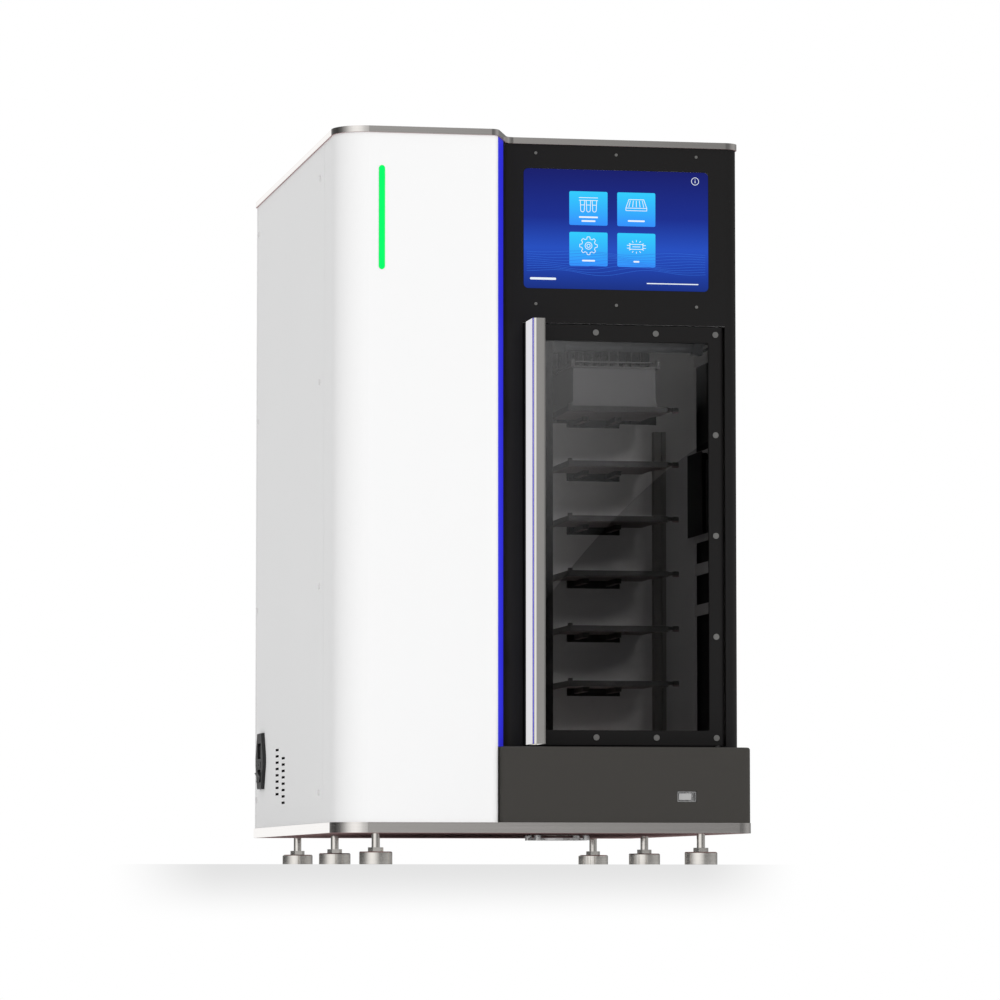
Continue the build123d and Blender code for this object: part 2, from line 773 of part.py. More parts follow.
def lift_rail():
    """Linear rail on an upright that stands on the base plate."""
    y0 = head_y1 + 14
    rail_bar = block(well_centre_x - rail_width / 2, well_centre_x + rail_width / 2, y0, y0 + 10,
                     lift_low_z, lift_high_z)
    upright = block(well_centre_x - 40, well_centre_x + 40, y0 + 10, y0 + 14, base_top_z, lift_high_z)
    foot = block(well_centre_x - 40, well_centre_x + 40, y0 + 10, y0 + 50, base_top_z, base_top_z + 4)
    for z in (200.0, 320.0):
        upright -= Pos(well_centre_x, y0 + 12, z) * Rot(90, 0, 0) * Cylinder(22, 10)
    centre = (slot_left + slot_right) / 2
    half = tray_arm_spread / 2 + tray_arm_width / 2 + 3
    upright -= block(centre - half, centre + half, y0 + 9, y0 + 15, tray_top_z - 18, tray_top_z + 4)
    return rail_bar + upright + foot


def screw_bracket():
    """Bearing plates of the lead screw, fixed to the lift's upright."""
    plates = []
    y_back = head_y1 + 24
    for z in (lift_low_z - 8, lift_high_z):
        plate = block(well_centre_x - 40, screw_x + 22, lift_y - 22, y_back + 4, z, z + 8)
        if z < lift_high_z:
            plate -= block(well_centre_x - 41, well_centre_x + 41, lift_y - 23, y_back, z - 1, z + 9)
            plate -= block(well_centre_x - 41, well_centre_x + 40, y_back - 1, y_back + 5, z - 1, z + 9)
        plate -= post(screw_radius + running_clearance, screw_x, lift_y, z - 1, z + 9)
        plates.append(plate)
    plates[1] -= block(well_centre_x - 41, screw_x - 20, lift_y - 23, y_back - 12, lift_high_z - 1, lift_high_z + 9)
    return plates


def lead_screw():
    shaft = post(screw_radius, screw_x, lift_y, lift_low_z - 8, lift_high_z + 10)
    flat = block(screw_x - 6, screw_x + 6, lift_y + screw_radius - 1, lift_y + 6, lift_low_z - 9, lift_low_z - 4)
    return shaft - flat


def stepper_motor():
    z0 = lift_high_z + 8
    half = motor_size / 2
    y_offset = lift_y - 0.0
    body = block(screw_x - half, screw_x + half, y_offset - half, y_offset + half, z0, z0 + motor_length)
    body = chamfer(body.edges().filter_by(Axis.Z), 4)
    return body - post(screw_radius + 1, screw_x, lift_y, z0 - 1, z0 + 4)


# ---- supply, board, fan, inlet ----

def power_supply():
    """Vented case on the base plate in the tower."""
    case = block(-185, -75, 40, 240, base_top_z, base_top_z + 62)
    for i in range(8):
        case -= block(-170 + i * 13, -164 + i * 13, 60, 110, base_top_z + 60, base_top_z + 63)
    return case - block(-186, -150, 190, 241, base_top_z + 34, base_top_z + 63)


def control_board():
    """Board on four standoffs above a tray bolted to the base plate, upright in the tower."""
    tray_sheet_x = -60.0
    carrier = block(tray_sheet_x, tray_sheet_x + 2, -180, 120, base_top_z, 420)
    board = block(tray_sheet_x - 9.6, tray_sheet_x - 8, -160, 60, 180, 400)
    standoffs = [pin_x(3, y, z, tray_sheet_x - 8, tray_sheet_x) for y in (-150, 50) for z in (190, 390)]
    chips = [block(tray_sheet_x - 12.6, tray_sheet_x - 9.6, y, y + 28, z, z + 28) for y in (-110, -20) for z in (230, 320)]
    return fuse([carrier, board] + standoffs + chips)


def fan_frame():
    z0 = base_top_z
    half = fan_size / 2
    frame = block(fan_x - half, fan_x + half, fan_y - half, fan_y + half, z0, z0 + fan_thickness)
    frame -= post(fan_bore_radius, fan_x, fan_y, z0 - 1, z0 + fan_thickness + 1)
    arms = [Pos(fan_x, fan_y, z0 + fan_thickness - 1) * Rot(0, 0, 90 * i + 45) * Pos(hub_radius + 9, 0, 0) * Box(22, 3, 2)
            for i in range(4)]
    cup = post(hub_radius, fan_x, fan_y, z0 + fan_thickness - 3, z0 + fan_thickness)
    axle = post(1.5, fan_x, fan_y, z0 + 6, z0 + fan_thickness - 2)
    return fuse([frame, cup, axle] + arms)


def fan_rotor():
    """Hub with swept blades, running on the frame's axle."""
    z0 = base_top_z + 2
    z1 = base_top_z + fan_thickness - 4
    hub = post(hub_radius, fan_x, fan_y, z0, z1)
    blades = []
    for i in range(blade_count):
        blade = Pos(22.0, 0, (z0 + z1) / 2) * Rot(38, 0, 0) * Box(18, 1.4, 15)
        blades.append(Pos(fan_x, fan_y, 0) * Rot(0, 0, i * 360 / blade_count) * blade)
    rotor = fuse([hub] + blades)
    return rotor - post(1.5 + running_clearance, fan_x, fan_y, z0 + 3, z1 + 1)


def fan_guard():
    """Wire finger guard below the base plate: rings on two crossed bars with eyelets."""
    z0 = foot_height - guard_drop
    z1 = z0 + 2 * guard_wire
    rings = []
    for radius in guard_rings:
        band = RegularPolygon(radius + guard_wire, guard_sides) - RegularPolygon(radius - guard_wire, guard_sides)
        rings.append(Pos(fan_x, fan_y, z0) * extrude(band, z1 - z0))
    reach = fan_size / 2
    bars = []
    for i in range(2):
        turn = Pos(fan_x, fan_y, 0) * Rot(0, 0, 45 + 90 * i)
        bars.append(turn * block(-reach, reach, -guard_wire, guard_wire, z0, z1))
        for side in (-1, 1):
            eye = Pos(side * reach, 0, z0) * extrude(RegularPolygon(eye_radius, 8), foot_height - z0)
            bars.append(turn * eye)
    return fuse(bars + rings)


def inlet_outline(grow):
    """Six-sided flange: broad at mid height, narrow above and below."""
    half_w, half_top, half_h = inlet_width / 2 + grow, inlet_top_width / 2 + grow, inlet_height / 2 + grow
    shoulder = half_h - 16
    points = [(-half_w, -4), (-half_top, -half_h), (half_top, -half_h), (half_w, -4),
              (half_w, 4), (half_top, half_h), (-half_top, half_h), (-half_w, 4)]
    return plate_from(points)


def on_left_side(shape):
    """Place a shape drawn flat, X across and Y up, onto the left side at the inlet."""
    side = Plane(origin=(body_left_x, inlet_y, inlet_z), x_dir=(0, -1, 0), z_dir=(-1, 0, 0))
    return side * shape


def inlet_cutout():
    hole = Rectangle(inlet_body_width, inlet_body_height)
    return on_left_side(extrude(hole, 5, both=True))


def power_inlet():
    """Snap-in module: flange, body, appliance inlet with three blades, pockets for drawer and rocker."""
    flange = extrude(inlet_outline(0), inlet_flange)
    flange = fillet(flange.edges().group_by(Axis.Z)[-1], 1.2)
    body = Pos(0, 0, -inlet_body_depth / 2) * Box(inlet_body_width, inlet_body_height, inlet_body_depth)
    mouth = Pos(0, 10.5, -6) * extrude(Rectangle(24.4, 16.4), 22)
    drawer = Pos(0, -4.0, -8) * extrude(Rectangle(22.4, 7.4), 22)
    rocker = Pos(0, rocker_y, -10) * extrude(Rectangle(22.4, 13.4), 22)
    module = flange + body - mouth - drawer - rocker
    core = Pos(0, 10.5, -6.5) * extrude(Rectangle(19, 11), 8)
    slots = [Pos(x, 10.5 + y, 0) * Box(2.6, 4.6, 6) for x, y in ((-7, -1), (0, 2), (7, -1))]
    bearing = Pos(0, rocker_y, -rocker_pivot_depth) * Rot(0, 90, 0) * Cylinder(trunnion_radius + running_clearance, 24.4)
    return on_left_side(fuse([module, core - Compound(children=slots)]) - bearing)


def fuse_drawer():
    drawer = Pos(0, -4.0, -7.6) * extrude(Rectangle(21.8, 6.8), 7.6 + inlet_flange + 0.4)
    return on_left_side(drawer - Pos(0, -4.0, inlet_flange + 0.4) * Box(8, 1.2, 1.2))


def rocker_switch():
    """Rocker cap: a shallow vee on two trunnions, its upper end standing proud."""
    drop = rocker_pivot_depth
    points = [(-rocker_half, rocker_height + drop), (0, rocker_height + drop - rocker_dip),
              (rocker_half, rocker_height + drop), (rocker_half - 0.4, 0), (2.5, -4), (-2.5, -4), (-rocker_half + 0.4, 0)]
    cap = extrude(plate_from(points), 10.7, both=True)
    cap = cap + Cylinder(trunnion_radius, 24)
    tilted = Rot(0, 0, rocker_tilt) * cap
    return on_left_side(Plane(origin=(0, rocker_y, -drop), x_dir=(0, 1, 0), z_dir=(1, 0, 0)) * tilted)


# ---- feet ----

def levelling_foot(x, y):
    """Turned disc, hexagon and threaded stud through the base plate."""
    disc = post(foot_radius, x, y, 0, foot_disc_height)
    disc = chamfer(disc.edges().group_by(Axis.Z)[-1], 1.0)
    hexagon = Pos(x, y, foot_disc_height) * extrude(RegularPolygon(foot_hex / 2, 6, major_radius=False), foot_hex_height)
    stud = post(stud_radius, x, y, foot_disc_height, base_top_z + 6)
    return disc + hexagon + stud


def lock_nuts():
    """Nuts on top of the base plate, one on each stud."""
    nuts = []
    for x, y in foot_places():
        nut = Pos(x, y, base_top_z) * extrude(RegularPolygon(foot_hex / 2, 6, major_radius=False), lock_nut_height)
        bore = extrude(RegularPolygon(stud_radius + running_clearance, 12, major_radius=False), lock_nut_height)
        nuts.append(nut - Pos(x, y, base_top_z) * bore)
    return nuts


os.makedirs("parts", exist_ok=True)

write("base_plate", base_plate())
write("top_plate", top_plate())
write("front_left_cover", front_left_cover())
write("status_light", status_light())
write("accent_strip", accent_strip())
write("left_side_panel", left_side_panel())
write("side_panel_screws", *side_panel_screws())
write("rear_panel", rear_panel())
write("right_side_panel", right_side_panel())
write("lower_front_cover", lower_front_cover())
write("usb_socket", usb_socket())
write("display_panel", display_panel())
write("display_screws", *display_screws())
write("touch_screen", touch_screen())
write("front_frame", front_frame())
write("door_pivots", *door_pivots())
write("door_frame", door_frame())
write("door_glass", door_glass())
write("door_screws", *door_screws())
write("door_handle", door_handle())
write("handle_standoffs", *handle_standoffs())
write("chamber_back", chamber_back())
write("chamber_left_wall", chamber_left_wall())
write("chamber_right_wall", chamber_right_wall())
write("chamber_floor", chamber_floor())
write("chamber_ceiling", chamber_ceiling())
write("lock_housing", lock_housing())
write("guide_column", guide_column())
write("uv_lamp", uv_lamp())
for number, top in enumerate(tray_tops(), 1):
    write("tray_" + str(number), tray(top))
write("tray_runners", *tray_runners())
write("runner_mast", runner_mast())
write("deep_well_plate", deep_well_plate())
write("tip_comb", tip_comb())
write("rod_head", rod_head())
write("lift_carriage", lift_carriage())
write("lift_rail", lift_rail())
write("screw_bracket", *screw_bracket())
write("lead_screw", lead_screw())
write("stepper_motor", stepper_motor())
write("power_supply", power_supply())
write("control_board", control_board())
write("fan_frame", fan_frame())
write("fan_rotor", fan_rotor())
write("fan_guard", fan_guard())
write("power_inlet", power_inlet())
write("fuse_drawer", fuse_drawer())
write("rocker_switch", rocker_switch())
write("lock_nuts", *lock_nuts())
for number, (x, y) in enumerate(foot_places(), 1):
    write("foot_" + str(number), levelling_foot(x, y))
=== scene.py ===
import math

import bpy
import numpy as np
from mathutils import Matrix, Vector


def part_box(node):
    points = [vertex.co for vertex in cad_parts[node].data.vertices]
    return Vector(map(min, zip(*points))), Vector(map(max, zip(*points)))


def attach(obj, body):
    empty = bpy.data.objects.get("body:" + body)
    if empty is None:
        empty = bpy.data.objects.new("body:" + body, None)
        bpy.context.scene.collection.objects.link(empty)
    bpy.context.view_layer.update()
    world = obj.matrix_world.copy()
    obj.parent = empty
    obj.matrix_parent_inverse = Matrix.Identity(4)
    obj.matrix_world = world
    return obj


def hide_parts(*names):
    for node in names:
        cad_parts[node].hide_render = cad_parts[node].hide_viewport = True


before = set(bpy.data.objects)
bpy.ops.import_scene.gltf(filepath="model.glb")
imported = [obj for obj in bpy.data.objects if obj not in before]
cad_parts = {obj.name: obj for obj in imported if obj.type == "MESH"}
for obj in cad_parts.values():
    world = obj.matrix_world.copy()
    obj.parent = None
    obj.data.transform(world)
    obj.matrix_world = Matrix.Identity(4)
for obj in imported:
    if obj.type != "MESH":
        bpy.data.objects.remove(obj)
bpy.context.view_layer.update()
print("frame loaded:", len(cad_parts), "nodes")

scene = bpy.context.scene
scene.view_settings.view_transform = "Standard"


# A screen colour, 0 to 255, as the linear colour that shaders take.
def srgb(r, g, b):
    c = np.array([r, g, b]) / 255.0
    linear = np.where(c <= 0.04045, c / 12.92, ((c + 0.055) / 1.055) ** 2.4)
    return (float(linear[0]), float(linear[1]), float(linear[2]), 1.0)


def setInputs(node, values):
    for name, value in values.items():
        node.inputs[name].default_value = value
    return node


def addNode(tree, kind, values=None, **settings):
    node = tree.nodes.new(kind)
    for name, value in settings.items():
        setattr(node, name, value)
    return setInputs(node, values or {})


# A Math node; a and b are numbers or sockets.
def mathNode(tree, operation, a, b=None):
    node = addNode(tree, "ShaderNodeMath", operation=operation)
    for index, value in enumerate((a, b)):
        if value is None:
            continue
        if isinstance(value, (int, float)):
            node.inputs[index].default_value = value
        else:
            tree.links.new(value, node.inputs[index])
    return node.outputs[0]


# Colour a where the factor is 0, colour b where it is 1.
def mixColour(tree, factor, a, b):
    node = addNode(tree, "ShaderNodeMix", data_type="RGBA")
    sockets = (node.inputs["Factor"], node.inputs[6], node.inputs[7])
    for socket, value in zip(sockets, (factor, a, b)):
        if isinstance(value, bpy.types.NodeSocket):
            tree.links.new(value, socket)
        else:
            socket.default_value = value
    return node.outputs[2]


# A material with its Principled shader; keywords are socket names with _ for a space.
def newMaterial(name, **principled):
    material = bpy.data.materials.new(name)
    material.use_nodes = True
    tree = material.node_tree
    shader = tree.nodes["Principled BSDF"]
    for key, value in principled.items():
        shader.inputs[key.replace("_", " ")].default_value = value
    return material, tree, shader


# Give CAD nodes this material in every slot that they have.
def dress(material, *nodes):
    for name in nodes:
        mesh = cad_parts[name].data
        for index in range(len(mesh.materials)):
            mesh.materials[index] = material
        if len(mesh.materials) == 0:
            mesh.materials.append(material)


# A node group with its sockets; inputs are (name, default), outputs are (name, socket kind).
def makeGroup(name, inputs, outputs):
    group = bpy.data.node_groups.new(name, "ShaderNodeTree")
    for label, default in inputs:
        socket = group.interface.new_socket(name=label, in_out="INPUT", socket_type="NodeSocketFloat")
        socket.default_value = default
    for label, kind in outputs:
        group.interface.new_socket(name=label, in_out="OUTPUT", socket_type=kind)
    return group, group.nodes.new("NodeGroupInput"), group.nodes.new("NodeGroupOutput")


# Powder coat: fine orange-peel height, and a slow change of tone and gloss.
def speckleGroup():
    group, given, result = makeGroup("powderCoat", [("Grain", 900.0), ("Depth", 0.1), ("Tone", 0.02)],
                                     [("Normal", "NodeSocketVector"), ("Shade", "NodeSocketFloat"),
                                      ("Gloss", "NodeSocketFloat")])
    place = addNode(group, "ShaderNodeTexCoord")
    fine = addNode(group, "ShaderNodeTexNoise", {"Detail": 2.0, "Roughness": 0.55})
    group.links.new(place.outputs["Object"], fine.inputs["Vector"])
    group.links.new(given.outputs["Grain"], fine.inputs["Scale"])
    bump = addNode(group, "ShaderNodeBump", {"Distance": 0.0002})
    group.links.new(fine.outputs["Fac"], bump.inputs["Height"])
    group.links.new(given.outputs["Depth"], bump.inputs["Strength"])
    slow = addNode(group, "ShaderNodeTexNoise", {"Scale": 5.0, "Detail": 3.0})
    group.links.new(place.outputs["Object"], slow.inputs["Vector"])
    centred = mathNode(group, "SUBTRACT", slow.outputs["Fac"], 0.5)
    swing = mathNode(group, "MULTIPLY", centred, given.outputs["Tone"])
    group.links.new(mathNode(group, "ADD", swing, 1.0), result.inputs["Shade"])
    group.links.new(mathNode(group, "MULTIPLY", centred, 0.12), result.inputs["Gloss"])
    group.links.new(bump.outputs["Normal"], result.inputs["Normal"])
    return group


# Brushed metal: noise drawn out along X, as height and as a change of gloss.
def brushGroup():
    group, given, result = makeGroup("brushedGrain", [("Along", 4.0), ("Across", 900.0), ("Depth", 0.05)],
                                     [("Normal", "NodeSocketVector"), ("Streak", "NodeSocketFloat")])
    place = addNode(group, "ShaderNodeTexCoord")
    scale = addNode(group, "ShaderNodeCombineXYZ")
    for axis, source in (("X", "Along"), ("Y", "Along"), ("Z", "Across")):
        group.links.new(given.outputs[source], scale.inputs[axis])
    stretch = addNode(group, "ShaderNodeVectorMath", operation="MULTIPLY")
    group.links.new(place.outputs["Object"], stretch.inputs[0])
    group.links.new(scale.outputs[0], stretch.inputs[1])
    noise = addNode(group, "ShaderNodeTexNoise", {"Scale": 1.0, "Detail": 4.0, "Roughness": 0.6})
    group.links.new(stretch.outputs[0], noise.inputs["Vector"])
    bump = addNode(group, "ShaderNodeBump", {"Distance": 0.0001})
    group.links.new(noise.outputs["Fac"], bump.inputs["Height"])
    group.links.new(given.outputs["Depth"], bump.inputs["Strength"])
    group.links.new(bump.outputs["Normal"], result.inputs["Normal"])
    group.links.new(mathNode(group, "SUBTRACT", noise.outputs["Fac"], 0.5), result.inputs["Streak"])
    return group


powderCoat = speckleGroup()
brushedGrain = brushGroup()


def useGroup(tree, group, **values):
    node = tree.nodes.new("ShaderNodeGroup")
    node.node_tree = group
    for name, value in values.items():
        node.inputs[name].default_value = value
    return node


# 1 where the surface's own direction along the axis is below the limit.
def facing(tree, axis, limit):
    place = addNode(tree, "ShaderNodeTexCoord")
    parts = addNode(tree, "ShaderNodeSeparateXYZ")
    tree.links.new(place.outputs["Normal"], parts.inputs[0])
    return mathNode(tree, "LESS_THAN", parts.outputs[axis], limit)


# 1 where the surface looks towards the machine's upright middle line; it masks the painted shade on inner
# faces.
def insideShadeMask(tree):
    place = addNode(tree, "ShaderNodeTexCoord")
    level = addNode(tree, "ShaderNodeVectorMath", operation="MULTIPLY")
    level.inputs[1].default_value = (1.0, 1.0, 0.0)
    tree.links.new(place.outputs["Object"], level.inputs[0])
    across = addNode(tree, "ShaderNodeVectorMath", operation="DOT_PRODUCT")
    tree.links.new(level.outputs[0], across.inputs[0])
    tree.links.new(place.outputs["Normal"], across.inputs[1])
    return mathNode(tree, "LESS_THAN", across.outputs["Value"], 0.0)


# Painted sheet: colour with the powder-coat group's tone, gloss and height; its inner faces can take a
# painted shade, and its lower faces a colour of their own.
def coatedMaterial(name, colour, roughness, grain=900.0, depth=0.1, tone=0.03, inner=None, under=None,
                   **principled):
    material, tree, shader = newMaterial(name, **principled)
    coat = useGroup(tree, powderCoat, Grain=grain, Depth=depth, Tone=tone)
    shade = addNode(tree, "ShaderNodeVectorMath", operation="SCALE")
    shade.inputs[0].default_value = colour[:3]
    if inner is not None:
        tree.links.new(mixColour(tree, insideShadeMask(tree), colour, inner), shade.inputs[0])
    if under is not None:
        tree.links.new(mixColour(tree, facing(tree, "Z", -0.5), colour, under), shade.inputs[0])
    tree.links.new(coat.outputs["Shade"], shade.inputs["Scale"])
    tree.links.new(shade.outputs[0], shader.inputs["Base Color"])
    tree.links.new(mathNode(tree, "ADD", coat.outputs["Gloss"], roughness), shader.inputs["Roughness"])
    tree.links.new(coat.outputs["Normal"], shader.inputs["Normal"])
    return material


# Bare metal: plain metallic colour, with the brushed group's streaks in its gloss and height.
def metalMaterial(name, colour, roughness, along=4.0, across=900.0, depth=0.05, swing=0.25, under=None,
                  **principled):
    material, tree, shader = newMaterial(name, Metallic=1.0, **principled)
    brush = useGroup(tree, brushedGrain, Along=along, Across=across, Depth=depth)
    tint = mathNode(tree, "ADD", mathNode(tree, "MULTIPLY", brush.outputs["Streak"], 0.16), 1.0)
    shade = addNode(tree, "ShaderNodeVectorMath", operation="SCALE")
    shade.inputs[0].default_value = colour[:3]
    tree.links.new(tint, shade.inputs["Scale"])
    # lower faces can take a plain colour and lose their metal; on the plate this is painted shade
    if under is not None:
        low = facing(tree, "Z", -0.5)
        tree.links.new(mixColour(tree, low, colour, under), shade.inputs[0])
        tree.links.new(mathNode(tree, "SUBTRACT", 1.0, low), shader.inputs["Metallic"])
    tree.links.new(shade.outputs[0], shader.inputs["Base Color"])
    gloss = mathNode(tree, "MULTIPLY", brush.outputs["Streak"], swing)
    tree.links.new(mathNode(tree, "ADD", gloss, roughness), shader.inputs["Roughness"])
    tree.links.new(brush.outputs["Normal"], shader.inputs["Normal"])
    return material


handleLook = {
    "metal": srgb(240, 237, 233),
    "satin": srgb(120, 120, 118),
    "glow": srgb(236, 235, 233),
    "flat": 0.995,             # how squarely a face must look left to count as the flat left face
    "lift": 0.86,              # painted light: part of its paleness that does not depend on the light
    "streak": 0.06,
    "rough": 0.1, "satinRough": 0.4,
}


# Bright anodised bar; its flat left face is a white satin with painted light, an emission that keeps it pale
# in the recess's shade.
def handleMaterial():
    look = handleLook
    material, tree, shader = newMaterial("handleMetal")
    brush = useGroup(tree, brushedGrain, Along=700.0, Across=3.0, Depth=0.02)
    flat = facing(tree, "X", -look["flat"])
    streak = mathNode(tree, "MULTIPLY", brush.outputs["Streak"], look["streak"])
    shade = addNode(tree, "ShaderNodeVectorMath", operation="SCALE")
    tree.links.new(mixColour(tree, flat, look["metal"], look["satin"]), shade.inputs[0])
    tree.links.new(mathNode(tree, "ADD", streak, 1.0), shade.inputs["Scale"])
    tree.links.new(shade.outputs[0], shader.inputs["Base Color"])
    tree.links.new(mathNode(tree, "SUBTRACT", 1.0, flat), shader.inputs["Metallic"])
    rough = mathNode(tree, "ADD", mathNode(tree, "MULTIPLY", flat, look["satinRough"]), look["rough"])
    tree.links.new(rough, shader.inputs["Roughness"])
    # painted light: the flat left face glows
    shader.inputs["Emission Color"].default_value = look["glow"]
    tree.links.new(mathNode(tree, "MULTIPLY", flat, look["lift"]), shader.inputs["Emission Strength"])
    tree.links.new(brush.outputs["Normal"], shader.inputs["Normal"])
    return material


def paintedFinishes():
    return {
        # whiteCoat's inner faces are painted dark grey: painted shade, so the openings show black behind
        # them.
        "white": coatedMaterial("whiteCoat", srgb(247, 247, 247), 0.5, depth=0.06, tone=0.01,
                                inner=srgb(40, 40, 40), Specular_IOR_Level=0.04),
        "whiteHead": coatedMaterial("whiteHead", srgb(238, 237, 237), 0.5, depth=0.02,
                                    Specular_IOR_Level=0.2),
        "black": coatedMaterial("blackCoat", srgb(25, 24, 24), 0.55, depth=0.12, tone=0.05,
                                Specular_IOR_Level=0.2),
        "panel": coatedMaterial("panelCoat", srgb(25, 24, 24), 0.55, depth=0.12, tone=0.05,
                                under=srgb(236, 236, 236), Specular_IOR_Level=0.2),
        "greyBox": coatedMaterial("darkGreyCoat", srgb(63, 61, 58), 0.55, depth=0.12, tone=0.04,
                                  Specular_IOR_Level=0.2),
        # blueStrip's emission is painted light that keeps the strip bright in shade.
        "blue": coatedMaterial("blueStrip", srgb(52, 52, 236), 0.4, grain=300.0, depth=0.03,
                               Specular_IOR_Level=0.1, Emission_Color=srgb(44, 44, 208),
                               Emission_Strength=0.2),
        # linerCoat's faint emission is painted light that lifts the chamber's shade.
        "liner": coatedMaterial("linerCoat", srgb(218, 216, 214), 0.6, depth=0.1, tone=0.05,
                                Emission_Color=srgb(255, 252, 250), Emission_Strength=0.018),
    }


def plasticFinishes():
    return {
        "lock": coatedMaterial("lockPlastic", srgb(9, 9, 9), 0.45, grain=1400.0, depth=0.1,
                               Specular_IOR_Level=0.1),
        "plastic": coatedMaterial("blackPlastic", srgb(24, 24, 25), 0.5, grain=1600.0, depth=0.18),
        # traySheet's lower faces take a reddish colour that is painted shade.
        "tray": coatedMaterial("traySheet", srgb(47, 46, 44), 0.5, grain=1200.0, depth=0.1,
                               under=srgb(137, 118, 118)),
        # polypropylene's grey is painted shade: the milky plastic darkened for the chamber's shade.
        "polypropylene": coatedMaterial("polypropylene", srgb(108, 107, 106), 0.42, grain=500.0,
                                        depth=0.03),
        "board": coatedMaterial("solderMask", srgb(20, 82, 44), 0.35, grain=400.0, depth=0.05),
        "tongue": coatedMaterial("socketTongue", srgb(186, 186, 185), 0.4, grain=2000.0, depth=0.03),
    }


def metalFinishes():
    return {
        # brushedPlate's lower faces are a plain reddish colour: painted shade.
        "plate": metalMaterial("brushedPlate", srgb(243, 239, 235), 0.06, along=6.0, across=1400.0,
                               depth=0.004, swing=0.05, under=srgb(178, 150, 150), Specular_IOR_Level=0.0),
        "handle": handleMaterial(),
        "turned": metalMaterial("turnedSteel", srgb(243, 239, 233), 0.07, along=3.0, across=2600.0,
                                depth=0.01, swing=0.05),
        "screw": metalMaterial("screwSteel", srgb(150, 149, 147), 0.42, along=500.0, across=500.0),
        "chrome": metalMaterial("brightWire", srgb(222, 222, 222), 0.12, along=200.0, across=200.0,
                                depth=0.02),
        "aluminium": metalMaterial("greyAnodised", srgb(70, 69, 68), 0.42, along=900.0, across=6.0),
        "column": metalMaterial("darkAnodised", srgb(150, 147, 143), 0.5, along=900.0, across=6.0),
        "ground": metalMaterial("groundSteel", srgb(120, 120, 119), 0.3, along=600.0, across=600.0),
        "socket": metalMaterial("socketSteel", srgb(190, 190, 190), 0.25, along=300.0, across=300.0),
    }


def litFinishes():
    return {
        "light": glowMaterial("statusGlow", srgb(0, 255, 106), 1.0),
        "glass": smokedGlass(),
        "screen": screenMaterial(),
        "lamp": lampMaterial(),
    }


# A lit face that is its own colour, with a slight mottling under the lens.
def glowMaterial(name, colour, strength):
    material, tree, shader = newMaterial(name, Roughness=0.4, Specular_IOR_Level=0.1)
    place = addNode(tree, "ShaderNodeTexCoord")
    mottle = addNode(tree, "ShaderNodeTexNoise", {"Scale": 120.0, "Detail": 1.0})
    tree.links.new(place.outputs["Object"], mottle.inputs["Vector"])
    weaker = tuple(0.94 * c for c in colour[:3]) + (1.0,)
    shade = mixColour(tree, mottle.outputs["Fac"], weaker, colour)
    tree.links.new(shade, shader.inputs["Emission Color"])
    shader.inputs["Base Color"].default_value = (0.0, 0.02, 0.01, 1.0)
    lit = mathNode(tree, "MULTIPLY", facing(tree, "Y", -0.5), strength)
    tree.links.new(lit, shader.inputs["Emission Strength"])
    return material


glassLook = {
    "tint": srgb(164, 164, 165),
    "reflectionTint": srgb(199, 199, 200),
    "edge": (0.2426, 1.36, -2.09),     # the painted reflection's edge height: constant, per metre along, per square metre
    "paintedSheen": (-0.60, -2.99, 2.47),      # strength of the painted reflection's coat: constant, per metre along, per metre up
    "shadow": (0.8, 0.8, 0.8, 1.0),    # share of the light that passes it on the way to the chamber
}


# Smoked pane. A painted reflection covers it above a bowed slanting line: a lighter tint, and a coat that
# thins out away from the top left.
def smokedGlass():
    material, tree, shader = newMaterial("smokedPane", Roughness=0.0, Transmission_Weight=1.0, IOR=1.02,
                                         Coat_Roughness=0.02, Coat_IOR=2.4)
    low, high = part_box("door_glass")
    place = addNode(tree, "ShaderNodeTexCoord")
    parts = addNode(tree, "ShaderNodeSeparateXYZ")
    tree.links.new(place.outputs["Object"], parts.inputs[0])
    along = mathNode(tree, "SUBTRACT", parts.outputs["X"], low[0])
    foot, slope, bow = glassLook["edge"]
    climb = mathNode(tree, "ADD", mathNode(tree, "MULTIPLY", along, bow), slope)
    edge = mathNode(tree, "ADD", mathNode(tree, "MULTIPLY", along, climb), foot)
    above = mathNode(tree, "GREATER_THAN", parts.outputs["Z"], edge)
    start, across, up = glassLook["paintedSheen"]
    spread = mathNode(tree, "ADD", mathNode(tree, "MULTIPLY", along, across),
                      mathNode(tree, "MULTIPLY", parts.outputs["Z"], up))
    paintedSheen = mathNode(tree, "MAXIMUM", mathNode(tree, "ADD", spread, start), 0.0)
    tree.links.new(mathNode(tree, "MULTIPLY", above, paintedSheen), shader.inputs["Coat Weight"])
    # the lighter tint above the line is part of the painted reflection
    tint = mixColour(tree, above, glassLook["tint"], glassLook["reflectionTint"])
    tree.links.new(tint, shader.inputs["Base Color"])
    path = addNode(tree, "ShaderNodeLightPath")
    clear = addNode(tree, "ShaderNodeBsdfTransparent", {"Color": glassLook["shadow"]})
    both = addNode(tree, "ShaderNodeMixShader")
    output = tree.nodes["Material Output"]
    tree.links.new(path.outputs["Is Shadow Ray"], both.inputs["Fac"])
    tree.links.new(shader.outputs[0], both.inputs[1])
    tree.links.new(clear.outputs[0], both.inputs[2])
    tree.links.new(both.outputs[0], output.inputs["Surface"])
    return material


# the lit background's colours between its foot and its top: share of the height, colour
screenStops = ((0.20, srgb(30, 66, 172)), (0.34, srgb(36, 78, 190)), (0.60, srgb(24, 44, 140)))


